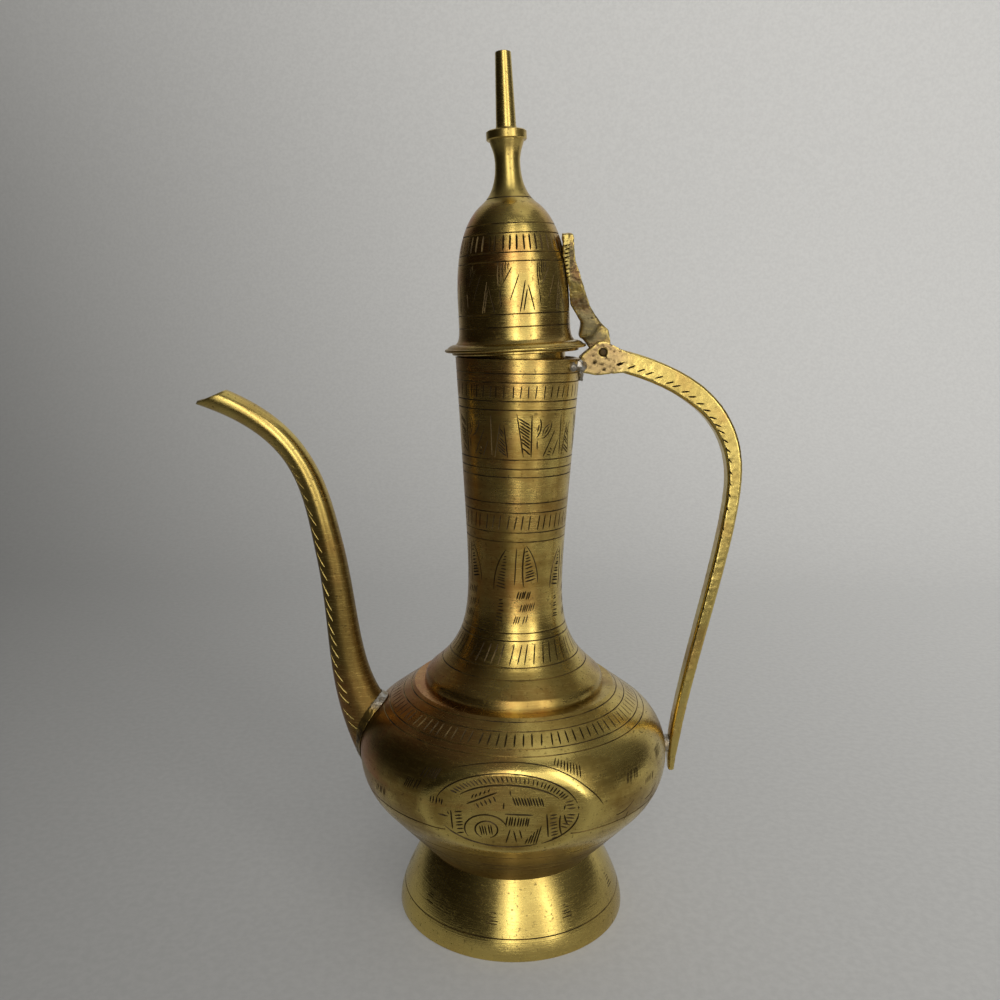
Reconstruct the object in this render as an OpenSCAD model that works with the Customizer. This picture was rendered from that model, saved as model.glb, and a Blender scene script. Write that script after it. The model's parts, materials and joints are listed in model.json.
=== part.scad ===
// Brass ewer: a spun vessel on a flared foot, with a curved spout, a strap handle and a hinged lid.
// Millimetres. The origin is the centre of the foot's lower edge, +Z is up, the spout points to -X.

/* [Foot] */
// Diameter of the foot on the ground
foot_d = 83.2; // [74:0.2:96]
// Height of the foot
foot_h = 24.6; // [18:0.2:32]
// Height of the upright lip at the lower edge of the foot
foot_lip_h = 3; // [2:0.1:5]
// Diameter of the foot's top edge
foot_top_d = 62.6; // [58:0.2:68]
// Wall of the foot's skirt
foot_wall = 2.2; // [1.6:0.1:3]
// How far the foot's skirt bulges out of a straight cone
foot_bulge = 0.9; // [0.2:0.1:2]

/* [Belly] */
// Largest diameter of the belly
belly_d = 111.6; // [100:0.2:124]
// Height of the bowl, from the foot's top edge to the widest line
bowl_h = 36.9; // [31:0.1:44]
// Height of the shoulder, from the widest line to the neck
shoulder_h = 24.7; // [22:0.1:30]
// Radius of the bowl's curve below the widest line
bowl_round = 24; // [18:0.5:27]
// Radius of the shoulder's curve above the widest line
shoulder_round = 20; // [15:0.5:21]
// Width of the flat ledge on the shoulder around the neck
ledge_w = 3.7; // [2:0.1:5]
// Wall of the belly
belly_wall = 2; // [1.4:0.1:2.6]
// Depth of the plug of the bowl in the foot
plug_h = 4; // [3:0.5:6]
// Diameter of the plug of the bowl in the foot
plug_d = 54; // [48:0.2:55]
// Thickness of the belly across the two flattened medallions
medallion_gap = 103.6; // [99:0.2:108]
// Radius of the slight dome of a medallion
medallion_round = 140; // [110:5:200]
// Turn of the medallions about the axis
medallion_turn = -2.5; // [-10:0.5:10]

/* [Neck] */
// Diameter of the neck's skirt where it stands on the shoulder
skirt_d = 64.6; // [60:0.2:70]
// Height of the upright step at the foot of the skirt
skirt_step_h = 3.8; // [2:0.1:6]
// Height of the neck, from the shoulder to the rim
neck_h = 116.4; // [100:0.2:130]
// Diameter of the rim
rim_d = 43; // [41:0.2:46]
// Diameter that the neck's straight taper would have at the shoulder
throat_d = 27.6; // [25:0.2:31]
// Height over which the skirt's flare dies away
flare_fall = 11.7; // [9:0.1:14]
// How sharply the skirt's flare dies away
flare_power = 1.12; // [1:0.02:1.4]
// Wall of the neck
neck_wall = 1.8; // [1.2:0.1:2.4]

/* [Lid] */
// Angle by which the resting lid leans to the spout
lid_lean = 3.2; // [0:0.1:4]
// How far the lid's axis lies off the neck's axis, to the spout
lid_offset = 0.9; // [0:0.1:1.2]
// Gap between the rim and the resting lid
lid_gap = 0.2; // [0.1:0.05:0.5]
// Diameter of the lid's flange
flange_d = 48.4; // [46:0.2:51]
// Height of the lid's flange
flange_h = 3.5; // [2.8:0.1:4.5]
// Diameter of the spigot under the flange
spigot_d = 34; // [30:0.2:35]
// Depth of the spigot in the neck
spigot_h = 5; // [3:0.2:8]
// Diameter of the lid's dome
dome_d = 37.8; // [36:0.2:39]
// Height of the dome, up to the finial
dome_h = 45.4; // [40:0.2:50]
// Height of the dome's straight lower part
dome_straight_h = 11.6; // [8:0.2:15]
// How much higher than the finial's foot the dome's curve would close on the axis
dome_tip_h = 2.7; // [1.5:0.1:12]
// Fullness of the dome's curve, where 2 is an ellipse
dome_power = 2.5; // [2:0.05:3]
// How far the dome's lower edge flares out
dome_flare = 1.4; // [0.6:0.1:2]
// Wall of the dome
dome_wall = 1.6; // [1.2:0.1:2]

/* [Finial] */
// Height of the stem, up to its collar
stem_h = 20.2; // [16:0.2:26]
// Diameter of the stem's waist
stem_waist_d = 8.4; // [7.4:0.2:11]
// Diameter of the stem under its collar
stem_top_d = 11.6; // [10:0.2:13]
// Diameter of the collar
collar_d = 13.4; // [12:0.2:16]
// Height of the collar
collar_h = 3; // [2:0.1:4]
// Height of the spike
spike_h = 24.5; // [15:0.5:32]
// Diameter of the spike above its foot
spike_d = 6.6; // [5.6:0.2:8]
// Diameter of the spike's blunt end
spike_tip_d = 5.2; // [4:0.1:6.4]
// Diameter of the tenon of the spike in the stem
tenon_d = 4; // [3:0.1:5]
// Depth of the tenon of the spike in the stem
tenon_h = 5; // [3:0.5:8]

/* [Spout] */
// How far the spout's beak reaches out from the belly
spout_reach = 58.2; // [48:0.2:66]
// Height of the end of the spout's axis above the belly's widest line
spout_rise = 128.8; // [118:0.2:138]
// How far the middle of the spout stands out from the belly
spout_mid_out = 10.5; // [7:0.1:14]
// Height of the middle of the spout above the belly's widest line
spout_mid_rise = 72.8; // [64:0.2:80]
// How far the root of the spout's axis lies inside the belly
spout_root_in = 6.4; // [5:0.1:8]
// Slope of the spout's axis at its root
spout_root_angle = 56; // [50:1:62]
// Lean of the spout's axis at its middle
spout_mid_lean = 11.8; // [8:0.2:15]
// Slope of the spout's axis at its beak
spout_tip_angle = 16; // [12:0.2:22]
// Width of the spout's root, seen from the side
spout_root_w = 21.4; // [19:0.2:24]
// Thickness of the spout's root
spout_root_t = 17; // [15:0.2:20]
// Width of the slim part of the spout, seen from the side
spout_slim_w = 9.7; // [9:0.1:12]
// Width of the spout's beak, seen from the side
spout_beak_w = 8.4; // [7.6:0.1:10]
// Thickness of the slim part of the spout
spout_slim_t = 9.4; // [8.6:0.1:11]
// Wall of the spout
spout_wall = 1.3; // [1:0.05:1.6]
// Diameter of the pour hole from the belly into the spout
pour_d = 9; // [6:0.5:10]
// Height of the pour hole above the belly's widest line
pour_rise = 9; // [7:0.5:11]
// Slope of the cut across the beak
beak_angle = 26; // [20:1:34]

/* [Handle] */
// Distance of the handle's outermost line from the ewer's axis
handle_reach = 76; // [70:0.5:82]
// Drop of the handle from the hinge pin to its outermost line
handle_drop = 43.9; // [36:0.5:52]
// Width of the handle's arch, seen from the side
handle_arch_w = 7.6; // [6.6:0.2:9]
// Width of the handle at its outermost line
handle_bend_w = 5; // [4:0.2:6]
// Width of the handle above its tail
handle_low_w = 3.8; // [3:0.1:4.6]
// Width of the handle at the end of its tail
handle_tail_w = 2.2; // [1.8:0.1:3]
// Thickness of the handle
handle_t = 8; // [7.2:0.1:9]
// Thickness of the handle above its tail
handle_low_t = 6.6; // [5.6:0.1:8]
// Thickness of the handle at the end of its tail
handle_tail_t = 4.4; // [3.6:0.2:6]
// Length of the tail below the belly's widest line
tail_len = 10; // [6:0.5:14]
// Gap between the tail and the belly, filled by solder
tail_gap = 1.2; // [0.8:0.1:2]
// Chamfer of the handle's edges
handle_chamfer = 0.7; // [0.3:0.05:0.8]

/* [Hinge] */
// Distance of the hinge pin from the rim
hinge_out = 7.1; // [6.6:0.1:8]
// Height of the hinge pin above the rim
hinge_rise = 1.8; // [1:0.1:2.4]
// Diameter of the hinge pin
pin_d = 2.7; // [2.2:0.1:3]
// Clearance on radius between the pin and the lever's bore
pin_clearance = 0.05; // [0.02:0.01:0.1]
// How far each peened end of the pin stands out of the handle
pin_proud = 0.3; // [0.1:0.1:0.6]
// Radius of the rounded head of the handle around the pin
lug_r = 3.8; // [3.2:0.1:4.2]
// Thickness of the lever's tongue
tongue_t = 3; // [2.4:0.1:3.6]
// Clearance on each side of the tongue
tongue_clearance = 0.3; // [0.2:0.05:0.5]

/* [Lever] */
// Height of the thumb lever above the hinge pin
lever_h = 39.8; // [32:0.2:46]
// How far the lever's thumb end leans in from the hinge pin
lever_lean_in = 12.4; // [11:0.1:13]
// How far the lever's middle leans in from the hinge pin
lever_mid_in = 12.6; // [11:0.1:13]
// Angle by which the lever's blade is bent to the front
lever_bend = 8; // [0:0.5:10]
// Gap between the lever and the dome
lever_gap = 0.4; // [0.3:0.1:1]
// Width of the lever's thumb end, seen from the side
lever_top_w = 3.4; // [3:0.2:5]
// Width of the lever's middle, seen from the side
lever_mid_w = 7.2; // [6:0.2:8]
// Thickness of the lever's thumb end
lever_top_t = 9; // [7:0.2:11]
// Thickness of the lever's waist
lever_waist_t = 4.6; // [3.8:0.2:5.4]

/* [Solder] */
// Film of solder between curved faces that are joined
solder_film = 0.15; // [0.1:0.05:0.3]
// Width of the bead of solder round the root of the spout
bead_w = 1.6; // [1:0.1:2.4]
// Thickness of the collar of solder round the root of the handle
neck_solder_t = 1.4; // [0.8:0.1:2]
// Radius of the collar of solder round the root of the handle
neck_solder_r = 5.2; // [4.8:0.1:6]
// Radius of the pad of solder behind the tail of the handle
pad_r = 3.2; // [2.4:0.1:4]

/* [Hidden] */
$fn = 96;
// Sides of a circle that a thin film of solder lies on
film_fn = 360;

// Colours of the metal
brass = [0.72, 0.58, 0.25];
dark_brass = [0.55, 0.43, 0.20];
red_brass = [0.66, 0.46, 0.26];
solder_grey = [0.62, 0.60, 0.55];

// Heights of the vessel
keel_z = foot_h + bowl_h;
seat_z = keel_z + shoulder_h;
rim_z = seat_z + neck_h;

// Radii of the vessel
foot_r = foot_d / 2;
foot_top_r = foot_top_d / 2;
plug_r = plug_d / 2;
belly_r = belly_d / 2;
skirt_r = skirt_d / 2;
throat_r = throat_d / 2;
rim_r = rim_d / 2;
flange_r = flange_d / 2;
spigot_r = spigot_d / 2;
dome_r = dome_d / 2;

// Fits between soldered pieces
plug_fit = 0.1;
seat_w = 3.6;
spigot_wall = 1.6;

// Hinge axis, in the plane of the spout and the handle
hinge_x = rim_r + hinge_out;
hinge_z = rim_z + hinge_rise;

// Height of the flange's underside before the lid leans down to the rim
lid_z = rim_z + lid_gap + (hinge_x + rim_r) * sin(lid_lean);
dome_z = lid_z + flange_h;
stem_z = dome_z + dome_h;
collar_z = stem_z + stem_h;
spike_z = collar_z + collar_h;

// Height at which the dome's curve would close on the axis
dome_full_h = dome_h + dome_tip_h;

// Number of points on a curve of an outline
curve_n = 14;
// How far a cut runs past the face that it opens
overcut = 1;
// A length that reaches past any piece
far = 400;

function mix(a, b, t) = a + (b - a) * t;
function unit(v) = v / norm(v);
function reverse(p) = [for (i = [len(p) - 1:-1:0]) p[i]];

// Point on a cubic curve with the ends a and d and the guide points b and c
function cubic(a, b, c, d, t) =
    pow(1 - t, 3) * a + 3 * pow(1 - t, 2) * t * b + 3 * (1 - t) * t * t * c + t * t * t * d;

// Circular arc from a to b that stands off its chord by the given rise, to the right of the way from a to b
function bowed(a, b, rise, n) =
    let (chord = norm(b - a), r = (chord * chord / 4 + rise * rise) / (2 * rise),
         along = unit(b - a), side = [along[1], -along[0]],
         centre = (a + b) / 2 + side * (rise - r), half = asin(chord / 2 / r))
    [for (i = [0:n]) let (q = mix(-half, half, i / n)) centre + r * (side * cos(q) + along * sin(q))];

// Outline moved inwards by w, to the left of the way along it
function inset(p, w) =
    [for (i = [0:len(p) - 1])
        let (t = unit(p[min(i + 1, len(p) - 1)] - p[max(i - 1, 0)])) p[i] + w * [-t[1], t[0]]];

// Angle at which a straight line from the point p touches a circle with the given centre and radius,
// seen from the centre. The side is 1 for a point above the circle and -1 for one below it
function touch_angle(p, centre, r, side) =
    let (v = p - centre) atan2(v[1], v[0]) - side * acos(r / norm(v));

// Arc of the belly's outline between the widest line and the straight flank that ends at p
function flank(p, r, side, shrink) =
    let (centre = [belly_r - r, keel_z], q = touch_angle(p, centre, r, side))
    [for (i = [0:curve_n]) let (a = q * i / curve_n) centre + (r - shrink) * [cos(a), sin(a)]];

// Unit vector out of the straight flank that ends at p
function flank_out(p, r, side) =
    let (q = touch_angle(p, [belly_r - r, keel_z], r, side)) [cos(q), sin(q)];

// Lower end of the bowl's flank and upper end of the shoulder's flank
bowl_foot = [foot_top_r, foot_h];
shoulder_top = [skirt_r + ledge_w, seat_z];

// Point of a flank at the height z, with the outline moved inwards by w
function flank_at(p, r, side, w, z) =
    let (out = flank_out(p, r, side), q = p - w * out, along = [-out[1], out[0]])
    q + along * (z - q[1]) / along[1];

// Outlines of the bowl and the shoulder from the widest line to their ends, moved inwards by w
function bowl_line(w, z) =
    concat(flank(bowl_foot, bowl_round, -1, w), [flank_at(bowl_foot, bowl_round, -1, w, z)]);
function shoulder_line(w, z) =
    concat(flank(shoulder_top, shoulder_round, 1, w), [flank_at(shoulder_top, shoulder_round, 1, w, z)]);

// Radius of the belly's outside at the height z
function belly_at(z) =
    let (side = z < keel_z ? -1 : 1, p = side < 0 ? bowl_foot : shoulder_top,
         r = side < 0 ? bowl_round : shoulder_round, h = z - keel_z,
         touch_h = r * sin(touch_angle(p, [belly_r - r, keel_z], r, side)))
    abs(h) < abs(touch_h) ? belly_r - r + sqrt(r * r - h * h) : flank_at(p, r, side, 0, z)[0];

// The belly's whole solid without its medallions
module belly_blank() {
    rotate_extrude()
        polygon(concat(
            [[0, seat_z]],
            reverse(shoulder_line(0, seat_z)),
            [for (p = bowl_line(0, foot_h)) if (p[1] < keel_z) p],
            [[0, foot_h]]));
}

// Space between the two medallions, moved inwards by w
module medallion_space(w) {
    rotate([0, 0, medallion_turn])
        intersection_for(side = [-1, 1])
            translate([0, side * (medallion_round - medallion_gap / 2), keel_z])
                sphere(r = medallion_round - w);
}

// Radius of the neck's outside at the height z
function neck_at(z) =
    let (h = z - seat_z - skirt_step_h, span = neck_h - skirt_step_h)
    mix(throat_r, rim_r, h / span)
    + (skirt_r - step_in - throat_r) * exp(-pow(max(h, 0) / flare_fall, flare_power));
// How far the skirt's step draws in at its top
step_in = 0.9;
// Heights on the neck, closer together in the skirt
neck_steps = 36;
neck_crowding = 1.8;
neck_outside = concat(
    [[skirt_r, seat_z], [skirt_r, seat_z + skirt_step_h - step_in]],
    [for (i = [0:neck_steps])
        let (z = mix(seat_z + skirt_step_h, rim_z, pow(i / neck_steps, neck_crowding))) [neck_at(z), z]]);

// Radius of the dome's outside at the height v above the flange
function dome_at(v) =
    let (h = max(v - dome_straight_h, 0) / (dome_full_h - dome_straight_h))
    dome_r * pow(1 - pow(h, dome_power), 1 / dome_power) + dome_flare * exp(-v / dome_flare);
dome_steps = 30;
dome_outside = [for (i = [0:dome_steps]) let (v = dome_h * sin(90 * i / dome_steps)) [dome_at(v), v]];
dome_top_r = dome_at(dome_h);
// Width of the flat ring on the dome that carries the finial
ring_w = 2.4;
stem_plug_h = 2.5;

// Lays the level lid down on the rim
module lean_lid() {
    translate([hinge_x, 0, hinge_z])
        rotate([0, -lid_lean, 0])
            translate([-hinge_x, 0, -hinge_z])
                children();
}

// Puts a piece that is turned about its own axis on the lid's axis, at the height z
module on_lid(z) {
    lean_lid()
        translate([-lid_offset, 0, z])
            children();
}

// Draws an outline in the plane of spout and handle and gives it the thickness t on both sides
module side_slab(t) {
    rotate([90, 0, 0])
        linear_extrude(t, center = true)
            children();
}

// Skin over a row of closed rings that have the same number of points. The ends of a convex row are closed
// by fans, the ends of a row of half shells by strips between the outer and the inner line
module loft(rings, convex) {
    n = len(rings[0]);
    m = len(rings);
    sides = [for (j = [0:m - 2], i = [0:n - 1])
        let (k = (i + 1) % n)
        each [[j * n + i, j * n + k, (j + 1) * n + k], [j * n + i, (j + 1) * n + k, (j + 1) * n + i]]];
    cap = convex
        ? [for (i = [1:n - 2]) [0, i, i + 1]]
        : [for (i = [0:n / 2 - 2]) each [[i, i + 1, n - 1 - i], [i + 1, n - 2 - i, n - 1 - i]]];
    first = [for (f = cap) reverse(f)];
    last = [for (f = cap) [for (i = f) (m - 1) * n + i]];
    polyhedron([for (r = rings) each r], concat(first, sides, last), convexity = 10);
}

// Anchors of the spout's axis
root_rise = 3.5;
spout_root = [-(belly_r - spout_root_in), keel_z + root_rise];
spout_mid = [-(belly_r + spout_mid_out), keel_z + spout_mid_rise];
spout_end = [-(belly_r + spout_reach), keel_z + spout_rise];
// Lengths of the guides that shape the spout's axis
root_guide = 25;
mid_guide_low = 29;
mid_guide_high = 25;
end_guide = 41;
root_dir = [-cos(spout_root_angle), sin(spout_root_angle)];
mid_dir = [-sin(spout_mid_lean), cos(spout_mid_lean)];
end_dir = [-cos(spout_tip_angle), sin(spout_tip_angle)];
// How quickly the spout narrows above its root
spout_taper = 0.33;
// Rings along the spout and sides of half a ring
spout_rings = 36;
spout_sides = 10;

// Spout's axis, where s runs from 0 at the root to 1 in the middle and 2 at the end
function spout_axis(s) =
    s < 1
        ? cubic(spout_root, spout_root + root_guide * root_dir,
                spout_mid - mid_guide_low * mid_dir, spout_mid, s)
        : cubic(spout_mid, spout_mid + mid_guide_high * mid_dir,
                spout_end - end_guide * end_dir, spout_end, s - 1);
function spout_way(s) = unit(spout_axis(s + 0.01) - spout_axis(s - 0.01));
function narrowing(s) = exp(-max(s, 0) / spout_taper);
// Where the spout starts and ends to narrow to its beak
beak_narrowing = [1, 1.5];
function spout_w(s) =
    let (slim = lookup(s, [[beak_narrowing[0], spout_slim_w], [beak_narrowing[1], spout_beak_w]]))
    mix(slim, spout_root_w, narrowing(s));
function spout_t(s) = mix(spout_slim_t, spout_root_t, narrowing(s));

// Point of the spout's skin at s, moved inwards by w, at the angle q round the section.
// The angle is 0 on the side of the neck and 90 at the back
function spout_point(s, w, q) =
    let (d = spout_way(s), p = spout_axis(s) + [d[1], -d[0]] * (spout_w(s) / 2 - w) * cos(q))
    [p[0], (spout_t(s) / 2 - w) * sin(q), p[1]];

// Where the line of the skin at w and q leaves the belly, found by halving the span from low to high
function leaves_belly(w, q, low, high, turns) =
    let (m = (low + high) / 2, p = spout_point(m, w, q),
         out = norm([p[0], p[1]]) - belly_at(p[2]) > root_film)
    turns == 0 ? high : leaves_belly(w, q, out ? low : m, out ? m : high, turns - 1);
// Gap at the spout's root, wide enough for the straight edges between the points on the round belly
root_film = 2 * solder_film;

// The beak is cut open along a slope through this point
beak_shift = [2.5, -5.3];
beak_at = spout_end + beak_shift;
beak_up = [-sin(beak_angle), cos(beak_angle)];

// Where the line of the skin at w and q meets the beak's cut, found the same way
function meets_beak(w, q, low, high, turns) =
    let (m = (low + high) / 2, p = spout_point(m, w, q), out = ([p[0], p[2]] - beak_at) * beak_up > 0)
    turns == 0 ? low : meets_beak(w, q, out ? low : m, out ? m : high, turns - 1);

// Span of s that is searched for the two ends of the spout, and how often it is halved
root_search = [-0.3, 0.6];
beak_search = [1.3, 2.2];
halvings = 16;
function skin_start(w, q) = leaves_belly(w, q, root_search[0], root_search[1], halvings);
function skin_end(w, q) = meets_beak(w, q, beak_search[0], beak_search[1], halvings);

// Line of the skin from the belly to the beak
function skin_line(w, q) =
    let (a = skin_start(w, q), b = skin_end(w, q))
    [for (j = [0:spout_rings]) spout_point(mix(a, b, j / spout_rings), w, q)];

// One half shell of the spout, on the side 1 or -1 of the seam
module spout_half(side) {
    angles = [for (i = [0:spout_sides]) side * 180 * i / spout_sides];
    lines = concat([for (q = angles) skin_line(0, q)], [for (q = reverse(angles)) skin_line(spout_wall, q)]);
    ordered = side > 0 ? reverse(lines) : lines;
    loft([for (j = [0:spout_rings]) [for (line = ordered) line[j]]], false);
}

// Handle's axis: the arch from the hinge to the outermost line, then the fall to the tail
arch_shift = [3, -2];
arch_start = [hinge_x, hinge_z] + arch_shift;
arch_end = [handle_reach, hinge_z - handle_drop];
tail_lift = 1.8;
tail_end = [belly_r + tail_gap + tail_lift, keel_z - tail_len];
arch_guide = [21, -4.8];
bend_guide_high = 27.5;
bend_guide_low = 25.5;
tail_guide = [-1.4, 23.5];
handle_rings = 48;

function handle_axis(s) =
    s < 1
        ? cubic(arch_start, arch_start + arch_guide, arch_end + [0, bend_guide_high], arch_end, s)
        : cubic(arch_end, arch_end - [0, bend_guide_low], tail_end + tail_guide, tail_end, s - 1);
function handle_way(s) = unit(handle_axis(min(s + 0.01, 2)) - handle_axis(max(s - 0.01, 0)));
// Places along the axis where the bar changes its taper
arch_even = 0.5;
arch_narrow = 0.82;
tail_start = 1.85;
// Width and thickness of the bar along its axis
function handle_w(s) = lookup(s, [
    [0, handle_arch_w], [arch_even, handle_arch_w], [arch_narrow, mix(handle_arch_w, handle_bend_w, 0.6)],
    [1, handle_bend_w], [tail_start, handle_low_w], [2, handle_tail_w]]);
function handle_thick(s) = lookup(s, [[0, handle_t], [tail_start, handle_low_t], [2, handle_tail_t]]);

// Section of the bar at s: a rectangle with its four edges chamfered
function handle_ring(s) =
    let (c = handle_axis(s), d = handle_way(s), across = [-d[1], d[0]],
         w = handle_w(s) / 2, t = handle_thick(s) / 2, e = handle_chamfer)
    [for (p = [[w, t - e], [w - e, t], [e - w, t], [-w, t - e],
               [-w, e - t], [e - w, -t], [w - e, -t], [w, e - t]])
        let (q = c + across * p[0]) [q[0], p[1], q[1]]];

// Side view of the handle's head, from the neck to the start of the arch
head_top = 2.6;
head_low = 6.6;
head_sag = [2, 1.2];
head_slopes = [35, 25];
head_join = 0.08;
head_draw = 0.3;
module head_outline() {
    pin = [hinge_x, hinge_z];
    join = handle_axis(head_join);
    half = [0, handle_arch_w / 2 - head_draw];
    translate(pin)
        circle(lug_r);
    polygon([
        [rim_r - neck_wall, hinge_z - head_top],
        pin + lug_r * [-sin(head_slopes[0]), cos(head_slopes[0])],
        pin + [0, lug_r],
        pin + lug_r * [sin(head_slopes[1]), cos(head_slopes[1])],
        join + half,
        join - half,
        pin - [0, head_low] - head_sag,
        [rim_r - neck_wall, hinge_z - head_low]
    ]);
}

// Slot for the lever's tongue, open to the top and to the lid
slot_reach = 11.5;
slot_deeper = 0.9;
slot_floor = lug_r + slot_deeper;
module fork_slot() {
    slot_w = tongue_t + 2 * tongue_clearance;
    translate([hinge_x, 0, hinge_z])
        rotate([90, 0, 0])
            cylinder(r = slot_floor, h = slot_w, center = true);
    translate([hinge_x - slot_floor, -slot_w / 2, hinge_z])
        cube([2 * slot_floor, slot_w, far]);
    translate([hinge_x, -slot_w / 2, hinge_z - slot_floor])
        cube([slot_reach, slot_w, far]);
}

module hinge_bore(r) {
    translate([hinge_x, 0, hinge_z])
        rotate([90, 0, 0])
            cylinder(r = r, h = far, center = true);
}

// Outside of the neck with a thin skin added
module neck_blank(skin) {
    rotate_extrude()
        polygon(concat([[0, seat_z]], [for (p = neck_outside) [p[0] + skin, p[1]]], [[0, rim_z]]));
}

module foot() {
    lip = [foot_r, foot_lip_h];
    skirt = bowed(lip, [foot_top_r, foot_h], foot_bulge, curve_n);
    inside = inset(skirt, foot_wall);
    color(brass)
        rotate_extrude()
            polygon(concat(
                [[foot_r - foot_wall, 0], [foot_r, 0]],
                skirt,
                [[plug_r + plug_fit, foot_h], [plug_r + plug_fit, foot_h - plug_h]],
                [for (p = reverse(inside)) if (p[1] < foot_h - plug_h && p[0] > plug_r + plug_fit) p]));
}

module bowl() {
    floor_z = foot_h - plug_h;
    color(brass)
        difference() {
            intersection() {
                union() {
                    rotate_extrude()
                        polygon(concat([[0, keel_z]], bowl_line(0, foot_h), [[0, foot_h]]));
                    translate([0, 0, floor_z])
                        cylinder(r = plug_r, h = plug_h);
                }
                medallion_space(0);
            }
            intersection() {
                rotate_extrude()
                    polygon(concat(
                        [[0, keel_z + belly_wall]],
                        [[belly_r - belly_wall, keel_z + belly_wall]],
                        bowl_line(belly_wall, foot_h + belly_wall),
                        [[0, foot_h + belly_wall]]));
                medallion_space(belly_wall);
            }
            translate([0, 0, floor_z + belly_wall])
                cylinder(r = plug_r - belly_wall, h = plug_h);
        }
}

module shoulder() {
    color(brass)
        difference() {
            intersection() {
                rotate_extrude()
                    polygon(concat([[0, keel_z]], shoulder_line(0, seat_z), [[0, seat_z]]));
                medallion_space(0);
            }
            intersection() {
                rotate_extrude()
                    polygon(concat(
                        [[0, keel_z - belly_wall]],
                        [[belly_r - belly_wall, keel_z - belly_wall]],
                        shoulder_line(belly_wall, seat_z - belly_wall),
                        [[0, seat_z - belly_wall]]));
                medallion_space(belly_wall);
            }
            translate([0, 0, keel_z])
                cylinder(r = skirt_r - seat_w, h = shoulder_h + belly_wall);
            translate([0, 0, keel_z + pour_rise])
                rotate([0, -90, 0])
                    cylinder(d = pour_d, h = far);
        }
}

module neck() {
    inside = inset(neck_outside, neck_wall);
    color(brass)
        difference() {
            neck_blank(0);
            rotate_extrude()
                polygon(concat(
                    [[0, seat_z - overcut], [skirt_r - neck_wall, seat_z - overcut]],
                    [for (i = [1:len(inside) - 2]) inside[i]],
                    [[rim_r - neck_wall, rim_z + overcut], [0, rim_z + overcut]]));
        }
}

module spout_front() {
    color(dark_brass) spout_half(-1);
}

module spout_back() {
    color(dark_brass) spout_half(1);
}

// Bead of solder in the corner between the spout and the belly, three-sided, all the way round
bead_sides = 40;
bead_up = 0.05;
module spout_solder() {
    rows = [for (i = [0:bead_sides - 1])
        let (q = 360 * i / bead_sides, gap = -solder_film,
             a = skin_start(gap, q), b = skin_start(-bead_w, q))
        [spout_point(a, gap, q), spout_point(a + bead_up, gap, q), spout_point(b, -bead_w, q)]];
    faces = [for (i = [0:bead_sides - 1], j = [0:2])
        let (k = (i + 1) % bead_sides, l = (j + 1) % 3)
        each [[3 * i + j, 3 * k + j, 3 * k + l], [3 * i + j, 3 * k + l, 3 * i + l]]];
    color(solder_grey)
        polyhedron([for (r = rows) each r], faces, convexity = 10);
}

module handle() {
    color(dark_brass)
        difference() {
            union() {
                loft([for (i = [0:handle_rings]) handle_ring(2 * i / handle_rings)], true);
                side_slab(handle_t) head_outline();
            }
            neck_blank(solder_film);
            fork_slot();
            hinge_bore(pin_d / 2);
        }
}

// Collar of solder on the neck around the root of the handle
collar_lift = 1.8;
rim_clear = 1.5;
module handle_neck_solder() {
    color(solder_grey)
        difference() {
            intersection() {
                neck_blank(neck_solder_t);
                translate([0, 0, hinge_z - head_low + collar_lift])
                    rotate([0, 90, 0])
                        cylinder(r = neck_solder_r, h = far);
            }
            neck_blank(0);
            side_slab(handle_t) head_outline();
            translate([0, 0, rim_z - rim_clear])
                cylinder(r = far, h = far);
        }
}

// Pad of solder between the belly and the tail of the handle
pad_from = 0.75;
module handle_belly_solder() {
    inner = [for (i = [handle_rings * pad_from:handle_rings])
        let (s = 2 * i / handle_rings, d = handle_way(s))
        handle_axis(s) + handle_w(s) / 2 * [d[1], -d[0]]];
    color(solder_grey)
        difference() {
            intersection() {
                translate([0, 0, keel_z])
                    rotate([0, 90, 0])
                        cylinder(r = pad_r, h = far);
                side_slab(far)
                    polygon(concat(inner, [[0, keel_z - tail_len], [0, inner[0][1]]]));
            }
            belly_blank($fn = film_fn);
        }
}

module hinge_pin() {
    color(dark_brass)
        translate([hinge_x, 0, hinge_z])
            rotate([90, 0, 0])
                cylinder(d = pin_d, h = handle_t + 2 * pin_proud, center = true);
}

// Half section of the flange's moulded ring: a rounded rim below and a bowed slope up to the dome
rim_round = 0.9;
rim_share = 0.62;
slope_rise = 0.35;
slope_margin = 0.3;
rim_n = 6;
module flange_section(skin) {
    edge = flange_r - rim_round + skin;
    half = flange_h * rim_share / 2;
    slope = bowed([edge, 2 * half + skin], [dome_at(0) + slope_margin, flange_h + skin], slope_rise, rim_n);
    polygon(concat(
        [[spigot_r - spigot_wall, -skin], [edge, -skin]],
        [for (i = [0:rim_n]) let (a = mix(-90, 90, (i + 1) / (rim_n + 2)))
            [edge + rim_round * cos(a), half * (1 + sin(a))]],
        slope,
        [[spigot_r - spigot_wall, flange_h + skin]]));
}

module lid_flange() {
    color(brass)
        on_lid(lid_z) {
            rotate_extrude()
                flange_section(0);
            translate([0, 0, -spigot_h])
                difference() {
                    cylinder(r = spigot_r, h = spigot_h);
                    translate([0, 0, -overcut])
                        cylinder(r = spigot_r - spigot_wall, h = spigot_h + 2 * overcut);
                }
        }
}

module lid_dome() {
    hole_r = dome_top_r - ring_w;
    ring_z = dome_h - dome_wall;
    inside = [for (p = inset(dome_outside, dome_wall)) if (p[1] > 0 && p[1] < ring_z && p[0] > hole_r) p];
    color(red_brass)
        on_lid(dome_z)
            rotate_extrude()
                polygon(concat(
                    [[dome_at(0) - dome_wall, 0]],
                    dome_outside,
                    [[hole_r, dome_h], [hole_r, ring_z]],
                    reverse(inside)));
}

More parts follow.
